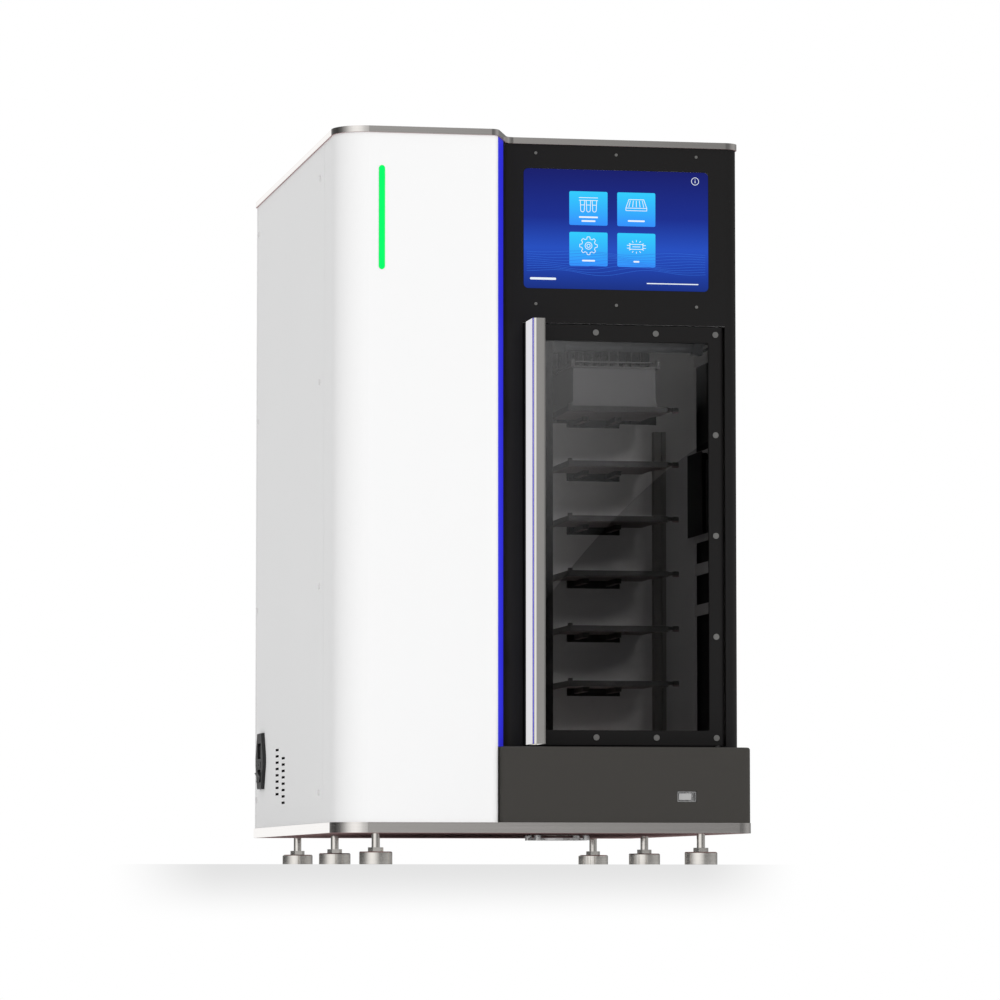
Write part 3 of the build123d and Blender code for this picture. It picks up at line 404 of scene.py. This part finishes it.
# Lit background: dark navy above, a brighter band low down, darker again at the foot.
def screenMaterial():
    material, tree, shader = newMaterial("litScreen", Roughness=0.25, Specular_IOR_Level=0.1)
    low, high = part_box("touch_screen")
    place = addNode(tree, "ShaderNodeTexCoord")
    parts = addNode(tree, "ShaderNodeSeparateXYZ")
    tree.links.new(place.outputs["Object"], parts.inputs[0])
    climb = mathNode(tree, "SUBTRACT", parts.outputs["Z"], low[2])
    rise = mathNode(tree, "DIVIDE", climb, high[2] - low[2])
    ramp = addNode(tree, "ShaderNodeValToRGB")
    stops = ramp.color_ramp
    stops.elements[0].position = 0.0
    stops.elements[0].color = srgb(22, 46, 128)
    stops.elements[1].position = 1.0
    stops.elements[1].color = srgb(20, 26, 104)
    for position, colour in screenStops:
        stops.elements.new(position).color = colour
    tree.links.new(rise, ramp.inputs["Fac"])
    tree.links.new(ramp.outputs["Color"], shader.inputs["Emission Color"])
    shader.inputs["Base Color"].default_value = (0.002, 0.003, 0.01, 1.0)
    tree.links.new(facing(tree, "Y", -0.5), shader.inputs["Emission Strength"])
    return material


# Quartz tube of the unlit germicidal lamp, faintly clouded.
def lampMaterial():
    return coatedMaterial("lampQuartz", srgb(66, 68, 72), 0.2, grain=60.0, depth=0.0, tone=0.1)


finish = {**paintedFinishes(), **plasticFinishes(), **metalFinishes(), **litFinishes()}
dress(finish["plate"], "base_plate", "top_plate")
dress(finish["white"], "front_left_cover", "left_side_panel", "right_side_panel", "rear_panel")
dress(finish["whiteHead"], "side_panel_screws")
dress(finish["blue"], "accent_strip")
dress(finish["light"], "status_light")
dress(finish["panel"], "display_panel")
dress(finish["black"], "front_frame", "door_frame", "handle_standoffs")
dress(finish["lock"], "lock_housing")
dress(finish["greyBox"], "lower_front_cover")
dress(finish["socket"], "usb_socket")
dress(finish["plastic"], "power_inlet", "fuse_drawer", "rocker_switch", "fan_frame", "fan_rotor")
dress(finish["glass"], "door_glass")
dress(finish["screen"], "touch_screen")
dress(finish["handle"], "door_handle")
dress(finish["screw"], "display_screws", "door_screws", "door_pivots", "lock_nuts")
dress(finish["turned"], *[f"foot_{i}" for i in range(1, 7)])
dress(finish["chrome"], "fan_guard")
dress(finish["liner"], "chamber_back", "chamber_left_wall", "chamber_floor")
dress(finish["black"], "chamber_ceiling")
dress(finish["aluminium"], "lift_rail", "lift_carriage", "screw_bracket")
dress(finish["column"], "guide_column")
dress(finish["plastic"], "runner_mast", "tray_runners")
dress(finish["tray"], *[f"tray_{i}" for i in range(1, 7)])
dress(finish["polypropylene"], "deep_well_plate", "tip_comb")
dress(finish["ground"], "rod_head", "lead_screw")
dress(finish["plastic"], "stepper_motor", "power_supply")
dress(finish["board"], "control_board")
dress(finish["lamp"], "uv_lamp")
print("finishes set:", len(finish))


# Mesh of a grid of points, shape (u, v, 3); faces join neighbours where keep, if given, is True.
def gridMesh(name, points, closeU=False, closeV=False, keep=None):
    rows, columns = points.shape[:2]
    index = np.arange(rows * columns).reshape(rows, columns)
    if closeU:
        index = np.vstack([index, index[:1]])
    if closeV:
        index = np.hstack([index, index[:, :1]])
    corners = [index[:-1, :-1], index[1:, :-1], index[1:, 1:], index[:-1, 1:]]
    quads = np.stack(corners, axis=-1).reshape(-1, 4)
    if keep is not None:
        quads = quads[keep.reshape(-1)]
    mesh = bpy.data.meshes.new(name)
    mesh.from_pydata(points.reshape(-1, 3).tolist(), [], quads.tolist())
    mesh.update()
    return mesh


# One piece from several meshes, with one material.
def joinMeshes(name, meshes, material):
    points, faces, offset = [], [], 0
    for mesh in meshes:
        count = len(mesh.vertices)
        flat = np.empty(count * 3)
        mesh.vertices.foreach_get("co", flat)
        points.append(flat.reshape(-1, 3))
        faces += [[offset + i for i in polygon.vertices] for polygon in mesh.polygons]
        offset += count
        bpy.data.meshes.remove(mesh)
    whole = bpy.data.meshes.new(name)
    whole.from_pydata(np.vstack(points).tolist(), [], faces)
    whole.materials.append(material)
    whole.update()
    piece = bpy.data.objects.new(name, whole)
    scene.collection.objects.link(piece)
    return piece


rightWall = {
    "heights": ((0.126, 0.251), (0.262, 0.292), (0.3035, 0.325), (0.4165, 0.504), (0.515, 0.519)),
    "front": 0.012, "rear": 0.004,                      # sheet left in front of and behind the openings
    "box": (0.3315, 0.412), "boxLength": 0.064, "boxWidth": 0.007, "boxEdge": 0.0016,
    "boxBack": 0.002,                                   # clear of the wall's rear edge
    "weld": 0.0001,
}
backWall = {
    "bay": (0.019, 0.130, 0.445), "bayTop": 0.002,      # from the sheet's left edge, and the sill's height
    "knobRoom": (0.129, 0.1372, 0.4446, 0.4544),
    "slot": (0.044, 0.099), "slotHeight": 0.009, "slotTop": 0.4498, "pitch": 0.0542, "slots": 6,
}


# A sheet in the node's box, thin along the axis, with rectangles (u0, u1, v0, v1) left open.
def openSheet(name, node, axis, openings):
    low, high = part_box(node)
    u, v = (1, 2) if axis == 0 else (0, 2)
    us = np.unique([low[u], high[u]] + [o[i] for o in openings for i in (0, 1)])
    vs = np.unique([low[v], high[v]] + [o[i] for o in openings for i in (2, 3)])
    gridU, gridV = np.meshgrid(us, vs, indexing="ij")
    points = np.full(gridU.shape + (3,), (low[axis] + high[axis]) / 2)
    points[..., u], points[..., v] = gridU, gridV
    midU, midV = (us[:-1] + us[1:]) / 2, (vs[:-1] + vs[1:]) / 2
    keep = np.ones((len(midU), len(midV)), dtype=bool)
    for u0, u1, v0, v1 in openings:
        keep &= ~np.outer((midU > u0) & (midU < u1), (midV > v0) & (midV < v1))
    sheet = joinMeshes(name, [gridMesh("sheet", points, keep=keep)], finish["liner"])
    thick = sheet.modifiers.new("sheet", "SOLIDIFY")
    thick.thickness = high[axis] - low[axis]
    thick.offset = 0.0
    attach(sheet, "housing")
    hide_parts(node)
    return sheet


# Openings between bridges; a closed sensor box stands on the solid part at the rear.
def buildRightWall():
    look = rightWall
    low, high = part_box("chamber_right_wall")
    openSheet("rightWall", "chamber_right_wall", 0,
              [(low[1] + look["front"], high[1] - look["rear"], z0, z1) for z0, z1 in look["heights"]])
    y1 = high[1] - look["boxBack"]
    y0 = y1 - look["boxLength"]
    z0, z1 = look["box"]
    ring = ((z0, y0), (z0, y1), (z1, y1), (z1, y0))
    sides = np.array([[(x, y, z) for z, y in ring] for x in (low[0] - look["boxWidth"], low[0])])
    caps = [gridMesh("cap", np.array([[side[0], side[1]], [side[3], side[2]]])) for side in sides]
    box = joinMeshes("sensorBox", [gridMesh("sides", sides, closeV=True)] + caps, finish["lock"])
    box.modifiers.new("weld", "WELD").merge_threshold = look["weld"]
    edge = box.modifiers.new("edge", "BEVEL")
    edge.width = look["boxEdge"]
    edge.segments = 2
    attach(box, "housing")


# The process bay above its sill, room for the first tray's knob, and a slot under each tray.
def buildBackWall():
    look = backWall
    low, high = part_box("chamber_back")
    left, right, sill = look["bay"]
    openings = [(low[0] + left, low[0] + right, sill, high[2] - look["bayTop"])]
    u0, u1, v0, v1 = look["knobRoom"]
    openings.append((low[0] + u0, low[0] + u1, v0, v1))
    u0, u1 = look["slot"]
    for i in range(look["slots"]):
        top = look["slotTop"] - i * look["pitch"]
        openings.append((low[0] + u0, low[0] + u1, top - look["slotHeight"], top))
    openSheet("backWall", "chamber_back", 1, openings)


buildRightWall()
buildBackWall()
print("chamber sheets built")


socketLook = {
    "rim": 0.0008, "radius": 0.0012, "innerShare": 0.6,     # inner corners: share of the outer radius
    "recess": 0.0115,
    "tongue": (0.0122, 0.0062, 0.0006),                     # width, height and corner radius
    "tongueBack": 0.0016, "shift": -0.0014,
    "closed": (1e-4, 1e-4, 1e-5),                           # a loop so small that it closes a skin
}


# A rounded rectangle about the origin: the corner circle's point, moved out to its own corner's centre.
def roundedLoop(width, height, radius, count=32):
    t = np.linspace(0, 2 * math.pi, count, endpoint=False) + math.pi / count
    x = np.sign(np.cos(t)) * (width / 2 - radius) + radius * np.cos(t)
    z = np.sign(np.sin(t)) * (height / 2 - radius) + radius * np.sin(t)
    return x, z


# Rows of rounded loops, each (width, height, radius, y), joined into one skin.
def loopGrid(stages, cx, cz):
    rows = []
    for width, height, radius, y in stages:
        x, z = roundedLoop(width, height, radius)
        rows.append(np.stack([cx + x, np.full(x.shape, y), cz + z], axis=1))
    return gridMesh("skin", np.array(rows), closeV=True)


# Thin bright shell that fills the opening, and a grey tongue inside it.
def buildSocket():
    look = socketLook
    low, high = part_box("usb_socket")
    cx, cz = (low[0] + high[0]) / 2, (low[2] + high[2]) / 2
    width, height, r = high[0] - low[0], high[2] - low[2], look["radius"]
    front, back = low[1], high[1]
    rim = 2 * look["rim"]
    outer = (width, height, r)
    inner = (width - rim, height - rim, r * look["innerShare"])
    floor, face = front + look["recess"], front + look["tongueBack"]
    closed, tongueLoop = look["closed"], look["tongue"]
    shell = loopGrid([closed + (back,), outer + (back,), outer + (front,), inner + (front,),
                      inner + (floor,), closed + (floor,)], cx, cz)
    tongue = loopGrid([closed + (face,), tongueLoop + (face,), tongueLoop + (floor,)],
                      cx + look["shift"], cz)
    pieces = [joinMeshes("socketShell", [shell], finish["socket"]),
              joinMeshes("socketTongue", [tongue], finish["tongue"])]
    for piece in pieces:
        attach(piece, "housing")
    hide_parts("usb_socket")


buildSocket()
print("socket built")


screenLook = {
    "tileWidth": 0.0383, "tileHeight": 0.0334, "tileRadius": 0.0015,
    "columns": (0.0455, 0.0935), "rows": (0.0229, 0.0631),     # lower left corners, from the screen's corner
    "tileLow": srgb(44, 140, 250), "tileHigh": srgb(41, 203, 250),
    "iconHeights": (0.020, 0.021),                             # each row's icon middles above the tiles' feet
    "stroke": 0.0006, "lift": 0.0001, "sheet": 0.00009,
}
screenLow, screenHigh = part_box("touch_screen")
screenCorner = np.array([screenLow[0], screenLow[1], screenLow[2]])


# Points (..., 2), in metres from the screen's lower left corner, as places just in front of it.
def onScreen(points, layer=1):
    flat = np.asarray(points, dtype=float)
    y = np.full(flat.shape[:-1], -layer * screenLook["lift"])
    return np.stack([flat[..., 0], y, flat[..., 1]], axis=-1) + screenCorner


# A flat stroke: the path moved half a width to each side, square to its own direction.
def ribbon(path, width, layer=2):
    path = np.asarray(path, dtype=float)
    along = np.gradient(path, axis=0)
    along /= np.maximum(np.linalg.norm(along, axis=1, keepdims=True), 1e-9)
    side = np.stack([-along[:, 1], along[:, 0]], axis=1) * width / 2
    return gridMesh("stroke", onScreen(np.stack([path + side, path - side], axis=1), layer))


# A rounded rectangle: a grid whose sides pull in near its ends by the corner circle's depth.
def roundedTile(x, y, width, height, radius, layer=1, steps=6):
    t = np.linspace(0, math.pi / 2, steps)
    xs = np.concatenate([radius - radius * np.cos(t), width - radius + radius * np.sin(t)])
    pull = np.concatenate([radius - radius * np.sin(t), radius - radius * np.cos(t)])
    low = np.stack([x + xs, y + pull], axis=1)
    high = np.stack([x + xs, y + height - pull], axis=1)
    return gridMesh("tile", onScreen(np.stack([low, high], axis=1), layer))


def arc(cx, cy, radius, start=0.0, end=360.0, count=40):
    t = np.radians(np.linspace(start, end, count))
    return np.stack([cx + radius * np.cos(t), cy + radius * np.sin(t)], axis=1)


# A stroke's path along straight runs, each cut into short steps.
def line(*points):
    return np.vstack([np.linspace(a, b, 8) for a, b in zip(points, points[1:])])


# sizes of the line icons, in metres from each icon's middle
rackLook = {
    "half": 0.0095, "rails": (0.0062, 0.0036), "tubes": (-0.006, 0.0, 0.006),
    "mouth": 0.0022, "foot": 0.0018, "footHeight": -0.006,
    "levelHalf": 0.002, "level": -0.001,
}
plateLook = {
    "baseHalf": 0.0105, "base": -0.003, "topHalf": 0.0075, "top": 0.0055, "lip": -0.0055,
    "slats": 5, "slatReach": 0.006, "slatSpread": 1.25, "slatLow": -0.002, "slatHigh": 0.0045,
}
gearLook = {"radius": 0.0078, "teeth": 8, "depth": 0.13, "squareness": 2.6, "rings": (0.0034, 0.0016)}
lampLook = {
    "half": 0.0065, "thick": 0.0024, "pinEnd": 0.0095, "pin": 0.0014, "axis": 0.004,
    "rays": (30, 151, 30), "near": 0.0048, "far": 0.0066, "spread": 1.3,
}
infoLook = {
    "place": (0.1719, 0.1092), "radius": 0.0036, "ringShare": 0.9, "markShare": 1.3,
    "marks": ((-0.0016, 0.0004), (0.0012, 0.0018)),
}


# Three tubes hang in a rack of two rails; a short line in each is its level.
def rackPaths():
    look = rackLook
    half, rail, foot = look["half"], look["rails"][1], look["footHeight"]
    paths = [line((-half, z), (half, z)) for z in look["rails"]]
    for x in look["tubes"]:
        paths += [line((x + side * look["mouth"], rail), (x + side * look["foot"], foot)) for side in (-1, 1)]
        paths.append(arc(x, foot, look["foot"], 180, 360, 16))
        paths.append(line((x - look["levelHalf"], look["level"]), (x + look["levelHalf"], look["level"])))
    return paths


# A plate seen in perspective: its outline, the lip below it and slats that spread towards the front.
def platePaths():
    look = plateLook
    wide, narrow = look["baseHalf"], look["topHalf"]
    base, top, lip = look["base"], look["top"], look["lip"]
    paths = [line((-wide, base), (-narrow, top), (narrow, top), (wide, base), (-wide, base)),
             line((-wide, lip), (wide, lip)),
             line((-wide, base), (-wide, lip)),
             line((wide, base), (wide, lip))]
    for x in np.linspace(-look["slatReach"], look["slatReach"], look["slats"]):
        paths.append(line((x * look["slatSpread"], look["slatLow"]), (x, look["slatHigh"])))
    return paths


# The rim's radius rises and falls with a flattened cosine of the angle, once a tooth; two rings stand in it.
def gearPaths():
    look = gearLook
    t = np.linspace(0, 2 * math.pi, 160)
    swing = np.clip(look["squareness"] * np.cos(look["teeth"] * t), -1, 1)
    r = look["radius"] * (1 + look["depth"] * swing)
    rim = np.stack([r * np.cos(t), r * np.sin(t)], axis=1)
    return [rim] + [arc(0.0, 0.0, ring) for ring in look["rings"]]


# A tube with two pins at each end, and rays above and below it.
def lampPaths():
    look = lampLook
    half, thick, end, pin = look["half"], look["thick"], look["pinEnd"], look["pin"]
    paths = [line((-half, thick), (half, thick), (half, -thick), (-half, -thick), (-half, thick))]
    for start, stop in ((-end, -half), (half, end)):
        paths += [line((start, z), (stop, z)) for z in (pin, -pin)]
    paths.append(line((-look["axis"], 0.0), (look["axis"], 0.0)))
    for angle in range(*look["rays"]):
        for turn in (0, 180):
            t = math.radians(angle + turn)
            ray = np.array([math.cos(t) * look["spread"], math.sin(t)])
            paths.append(line(ray * look["near"], ray * look["far"]))
    return paths


# Four plain icons on the tiles, and a ring with a mark in it at the top right.
def iconStrokes():
    look = screenLook
    stroke, half = look["stroke"], look["tileWidth"] / 2
    strokes = []
    icons = ((0, 1, rackPaths()), (1, 1, platePaths()), (0, 0, gearPaths()), (1, 0, lampPaths()))
    for column, row, paths in icons:
        middle = (look["columns"][column] + half, look["rows"][row] + look["iconHeights"][row])
        strokes += [ribbon(path + np.array(middle), stroke) for path in paths]
    x, y = infoLook["place"]
    strokes.append(ribbon(arc(x, y, infoLook["radius"]), stroke * infoLook["ringShare"]))
    for low, high in infoLook["marks"]:
        strokes.append(ribbon(line((x, y + low), (x, y + high)), stroke * infoLook["markShare"]))
    return strokes


# plain bars where captions would stand: (column, row, height above the tile's foot, length)
captions = ((0, 1, 0.0072, 0.019), (0, 1, 0.0034, 0.014), (1, 1, 0.0045, 0.017), (0, 0, 0.0045, 0.013),
            (1, 0, 0.0045, 0.006))
captionSize = {"height": 0.0016, "radius": 0.0007}
# the two bars off the tiles: (left, foot, length, height, radius)
looseBars = ((0.0062, 0.0085, 0.026, 0.0022, 0.001), (0.123, 0.0065, 0.052, 0.001, 0.0004))


def labelBars():
    bars = []
    for column, row, rise, length in captions:
        middle = screenLook["columns"][column] + screenLook["tileWidth"] / 2
        bars.append(roundedTile(middle - length / 2, screenLook["rows"][row] + rise, length,
                                captionSize["height"], captionSize["radius"], layer=2))
    bars += [roundedTile(*bar, layer=2) for bar in looseBars]
    return bars


waveLook = {
    "count": 9, "colour": srgb(46, 110, 220), "width": 0.00028, "margin": 0.003,
    "height": 0.017, "step": 0.0024,                        # first line's height, and from line to line
    "swing": 0.0034, "fade": 0.0002,                        # swing of the first, and what each next one loses
    "turns": 62.0, "shift": 0.55,                           # radians per metre, and radians from line to line
}


# Gentle sine lines over the lower third, each a little higher and flatter; half a sine over the screen's
# width takes the swing to nothing at both sides.
def waveStrokes():
    look = waveLook
    width = float(screenHigh[0] - screenLow[0])
    x = np.linspace(look["margin"], width - look["margin"], 120)
    strokes = []
    for i in range(look["count"]):
        swing = (look["swing"] - look["fade"] * i) * np.sin(x * math.pi / width)
        y = look["height"] + look["step"] * i + swing * np.sin(x * look["turns"] + look["shift"] * i)
        strokes.append(ribbon(np.stack([x, y], axis=1), look["width"], layer=1))
    return strokes


def litFlat(name, colour):
    material, tree, shader = newMaterial(name, Roughness=0.3, Specular_IOR_Level=0.1)
    place = addNode(tree, "ShaderNodeTexCoord")
    grain = addNode(tree, "ShaderNodeTexNoise", {"Scale": 4000.0, "Detail": 0.0})
    tree.links.new(place.outputs["Object"], grain.inputs["Vector"])
    dimmer = tuple(0.92 * c for c in colour[:3]) + (1.0,)
    tree.links.new(mixColour(tree, grain.outputs["Fac"], dimmer, colour), shader.inputs["Emission Color"])
    shader.inputs["Base Color"].default_value = (0.01, 0.01, 0.01, 1.0)
    shader.inputs["Emission Strength"].default_value = 1.0
    return material


# Tiles run from sky blue at the top to a deeper blue at the foot, once in each row.
def tileMaterial():
    material, tree, shader = newMaterial("screenTile", Roughness=0.3, Specular_IOR_Level=0.1)
    place = addNode(tree, "ShaderNodeTexCoord")
    parts = addNode(tree, "ShaderNodeSeparateXYZ")
    tree.links.new(place.outputs["Object"], parts.inputs[0])
    pitch = screenLook["rows"][1] - screenLook["rows"][0]
    rise = mathNode(tree, "SUBTRACT", parts.outputs["Z"], float(screenLow[2]) + screenLook["rows"][0])
    share = mathNode(tree, "DIVIDE", mathNode(tree, "MODULO", rise, pitch), screenLook["tileHeight"])
    shade = mixColour(tree, share, screenLook["tileLow"], screenLook["tileHigh"])
    tree.links.new(shade, shader.inputs["Emission Color"])
    shader.inputs["Base Color"].default_value = (0.01, 0.02, 0.03, 1.0)
    shader.inputs["Emission Strength"].default_value = 1.0
    return material


def buildScreen():
    look = screenLook
    tiles = [roundedTile(x, y, look["tileWidth"], look["tileHeight"], look["tileRadius"])
             for x in look["columns"] for y in look["rows"]]
    pieces = [joinMeshes("screenTiles", tiles, tileMaterial()),
              joinMeshes("screenIcons", iconStrokes() + labelBars(),
                         litFlat("screenWhite", srgb(240, 248, 255))),
              joinMeshes("screenWaves", waveStrokes(), litFlat("screenWave", waveLook["colour"]))]
    for piece in pieces:
        thick = piece.modifiers.new("sheet", "SOLIDIFY")
        thick.thickness = look["sheet"]
        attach(piece, "housing")


buildScreen()
print("screen drawn")


view = {
    "place": (-0.93524, -5.035, -0.0203),
    "heading": 10.65,          # degrees to the right of straight on
    "tilt": 4.378,             # degrees up
    "focal": 5035.0,           # in widths of one thousandth of the frame
}


def buildCamera():
    camera = bpy.data.cameras.new("camera")
    camera.sensor_width = 36.0
    camera.lens = view["focal"] * camera.sensor_width / 1000.0
    camera.clip_start = 0.1
    camera.clip_end = 60.0
    holder = bpy.data.objects.new("camera", camera)
    holder.location = view["place"]
    holder.rotation_euler = (math.radians(90.0 + view["tilt"]), 0.0, -math.radians(view["heading"]))
    scene.collection.objects.link(holder)
    scene.camera = holder


def stagePlane(name, corners, material):
    mesh = bpy.data.meshes.new(name)
    mesh.from_pydata(corners, [], [(0, 1, 2, 3)])
    mesh.materials.append(material)
    plane = bpy.data.objects.new(name, mesh)
    scene.collection.objects.link(plane)
    return plane


# Pale from above and clear from below, so a low camera looks past it.
def floorMaterial():
    material, tree, shader = newMaterial("paleFloor", Roughness=0.7, Specular_IOR_Level=0.1)
    shader.inputs["Base Color"].default_value = (0.9, 0.9, 0.9, 1.0)
    clear = addNode(tree, "ShaderNodeBsdfTransparent")
    side = addNode(tree, "ShaderNodeNewGeometry")
    both = addNode(tree, "ShaderNodeMixShader")
    tree.links.new(side.outputs["Backfacing"], both.inputs["Fac"])
    tree.links.new(shader.outputs[0], both.inputs[1])
    tree.links.new(clear.outputs[0], both.inputs[2])
    tree.links.new(both.outputs[0], tree.nodes["Material Output"].inputs["Surface"])
    return material


bandLook = {
    "y": -0.30, "depth": 0.056, "gap": 0.0002, "reach": (-1.2, 1.4),
    "left": -0.425, "right": 0.255, "soft": 0.115,          # where the shade ends, and how softly
    "dark": srgb(228, 228, 228),
}


# Painted shadow: a soft grey band under the floor's edge, darkest at the top, gone at the foot and at both
# ends.
def paintedShadowMaterial():
    material = bpy.data.materials.new("paintedShadowBand")
    material.use_nodes = True
    tree = material.node_tree
    tree.nodes.remove(tree.nodes["Principled BSDF"])
    place = addNode(tree, "ShaderNodeTexCoord")
    parts = addNode(tree, "ShaderNodeSeparateXYZ")
    tree.links.new(place.outputs["Object"], parts.inputs[0])
    drop = mathNode(tree, "DIVIDE", parts.outputs["Z"], -bandLook["depth"])
    down = addNode(tree, "ShaderNodeMapRange", {"To Min": 1.0, "To Max": 0.0},
                   interpolation_type="SMOOTHSTEP")
    tree.links.new(drop, down.inputs["Value"])
    ends = []
    for edge, sign in ((bandLook["left"], 1), (bandLook["right"], -1)):
        away = mathNode(tree, "MULTIPLY", mathNode(tree, "SUBTRACT", parts.outputs["X"], edge), sign)
        soft = addNode(tree, "ShaderNodeMapRange", {"From Min": 0.0, "From Max": bandLook["soft"]},
                       interpolation_type="SMOOTHSTEP")
        tree.links.new(away, soft.inputs["Value"])
        ends.append(soft.outputs[0])
    share = mathNode(tree, "MULTIPLY", down.outputs[0], mathNode(tree, "MULTIPLY", ends[0], ends[1]))
    glow = addNode(tree, "ShaderNodeEmission", {"Strength": 1.0})
    tree.links.new(mixColour(tree, share, (1.0, 1.0, 1.0, 1.0), bandLook["dark"]), glow.inputs["Color"])
    tree.links.new(glow.outputs[0], tree.nodes["Material Output"].inputs["Surface"])
    return material


def buildStage():
    reach = 6.0
    stagePlane("floor", [(-reach, -reach, 0), (reach, -reach, 0), (reach, reach, 0), (-reach, reach, 0)],
               floorMaterial())
    y, low, high = bandLook["y"], -bandLook["depth"], -bandLook["gap"]
    left, right = bandLook["reach"]
    band = stagePlane("paintedShadowBand", [(left, y, low), (right, y, low), (right, y, high), (left, y, high)],
                      paintedShadowMaterial())
    band.visible_diffuse = False
    band.visible_glossy = False


worldLook = {
    "white": (1.0, 1.0, 1.0, 1.0),
    "soft": (0.78, 0.78, 0.78, 1.0),
    "high": (0.35, 0.75),              # steepness of a direction where mirrors turn from the horizon to soft
}
sunLook = {"energy": 0.85, "size": 9.0, "steep": 72.0, "turn": 14.0}     # angles in degrees

# what mirrors see round the horizon: degrees from the front towards the left, and the light level there
horizon = ((-180, 1.0), (-172, 1.0), (-165, 0.2), (-150, 0.19), (-125, 0.25), (-110, 0.29), (-91, 0.335),
           (-72, 0.29), (-55, 0.21), (-39, 0.145), (-24, 0.14), (-13.5, 0.20), (-10.5, 0.32), (-3, 0.47),
           (4, 0.60), (18, 0.84), (32, 0.94), (46, 0.89), (61, 0.69), (77, 0.37), (95, 0.13), (115, 0.05),
           (143, 0.075), (165, 0.2), (169, 1.0))


# The level from the horizon list, by the direction's turn about the upright axis.
def horizonLevel(tree):
    place = addNode(tree, "ShaderNodeTexCoord")
    parts = addNode(tree, "ShaderNodeSeparateXYZ")
    tree.links.new(place.outputs["Generated"], parts.inputs[0])
    turn = mathNode(tree, "ARCTAN2", mathNode(tree, "MULTIPLY", parts.outputs["X"], -1.0),
                    mathNode(tree, "MULTIPLY", parts.outputs["Y"], -1.0))
    share = mathNode(tree, "ADD", mathNode(tree, "DIVIDE", turn, 2 * math.pi), 0.5)
    ramp = addNode(tree, "ShaderNodeValToRGB")
    stops = ramp.color_ramp.elements
    for index, (degrees, level) in enumerate(horizon):
        position = degrees / 360.0 + 0.5
        stop = stops[0] if index == 0 else stops.new(position)
        stop.position = position
        stop.color = (level, level, level, 1.0)
    stops.remove(stops[len(stops) - 1])
    tree.links.new(share, ramp.inputs["Fac"])
    return ramp.outputs["Color"]


# White to the eye and through glass; a shaped horizon in mirrors; a softer level on matt surfaces.
def buildWorld():
    world = bpy.data.worlds.new("studio")
    scene.world = world
    world.use_nodes = True
    tree = world.node_tree
    background = tree.nodes["Background"]
    path = addNode(tree, "ShaderNodeLightPath")
    seen = mathNode(tree, "MAXIMUM", path.outputs["Is Camera Ray"], path.outputs["Is Transmission Ray"])
    white, soft = worldLook["white"], worldLook["soft"]
    place = addNode(tree, "ShaderNodeTexCoord")
    parts = addNode(tree, "ShaderNodeSeparateXYZ")
    tree.links.new(place.outputs["Generated"], parts.inputs[0])
    start, full = worldLook["high"]
    high = addNode(tree, "ShaderNodeMapRange", {"From Min": start, "From Max": full},
                   interpolation_type="SMOOTHSTEP")
    tree.links.new(mathNode(tree, "ABSOLUTE", parts.outputs["Z"]), high.inputs["Value"])
    mirror = mixColour(tree, high.outputs[0], horizonLevel(tree), soft)
    shade = mixColour(tree, path.outputs["Is Glossy Ray"], soft, mirror)
    tree.links.new(mixColour(tree, seen, shade, white), background.inputs["Color"])


def buildSun():
    sun = bpy.data.lights.new("front", "SUN")
    sun.energy = sunLook["energy"]
    sun.angle = math.radians(sunLook["size"])
    holder = bpy.data.objects.new("front", sun)
    holder.rotation_euler = (math.radians(sunLook["steep"]), 0.0, math.radians(sunLook["turn"]))
    scene.collection.objects.link(holder)
    holder.visible_glossy = False


buildCamera()
buildStage()
buildWorld()
buildSun()
print("stage and light set")

print("done")
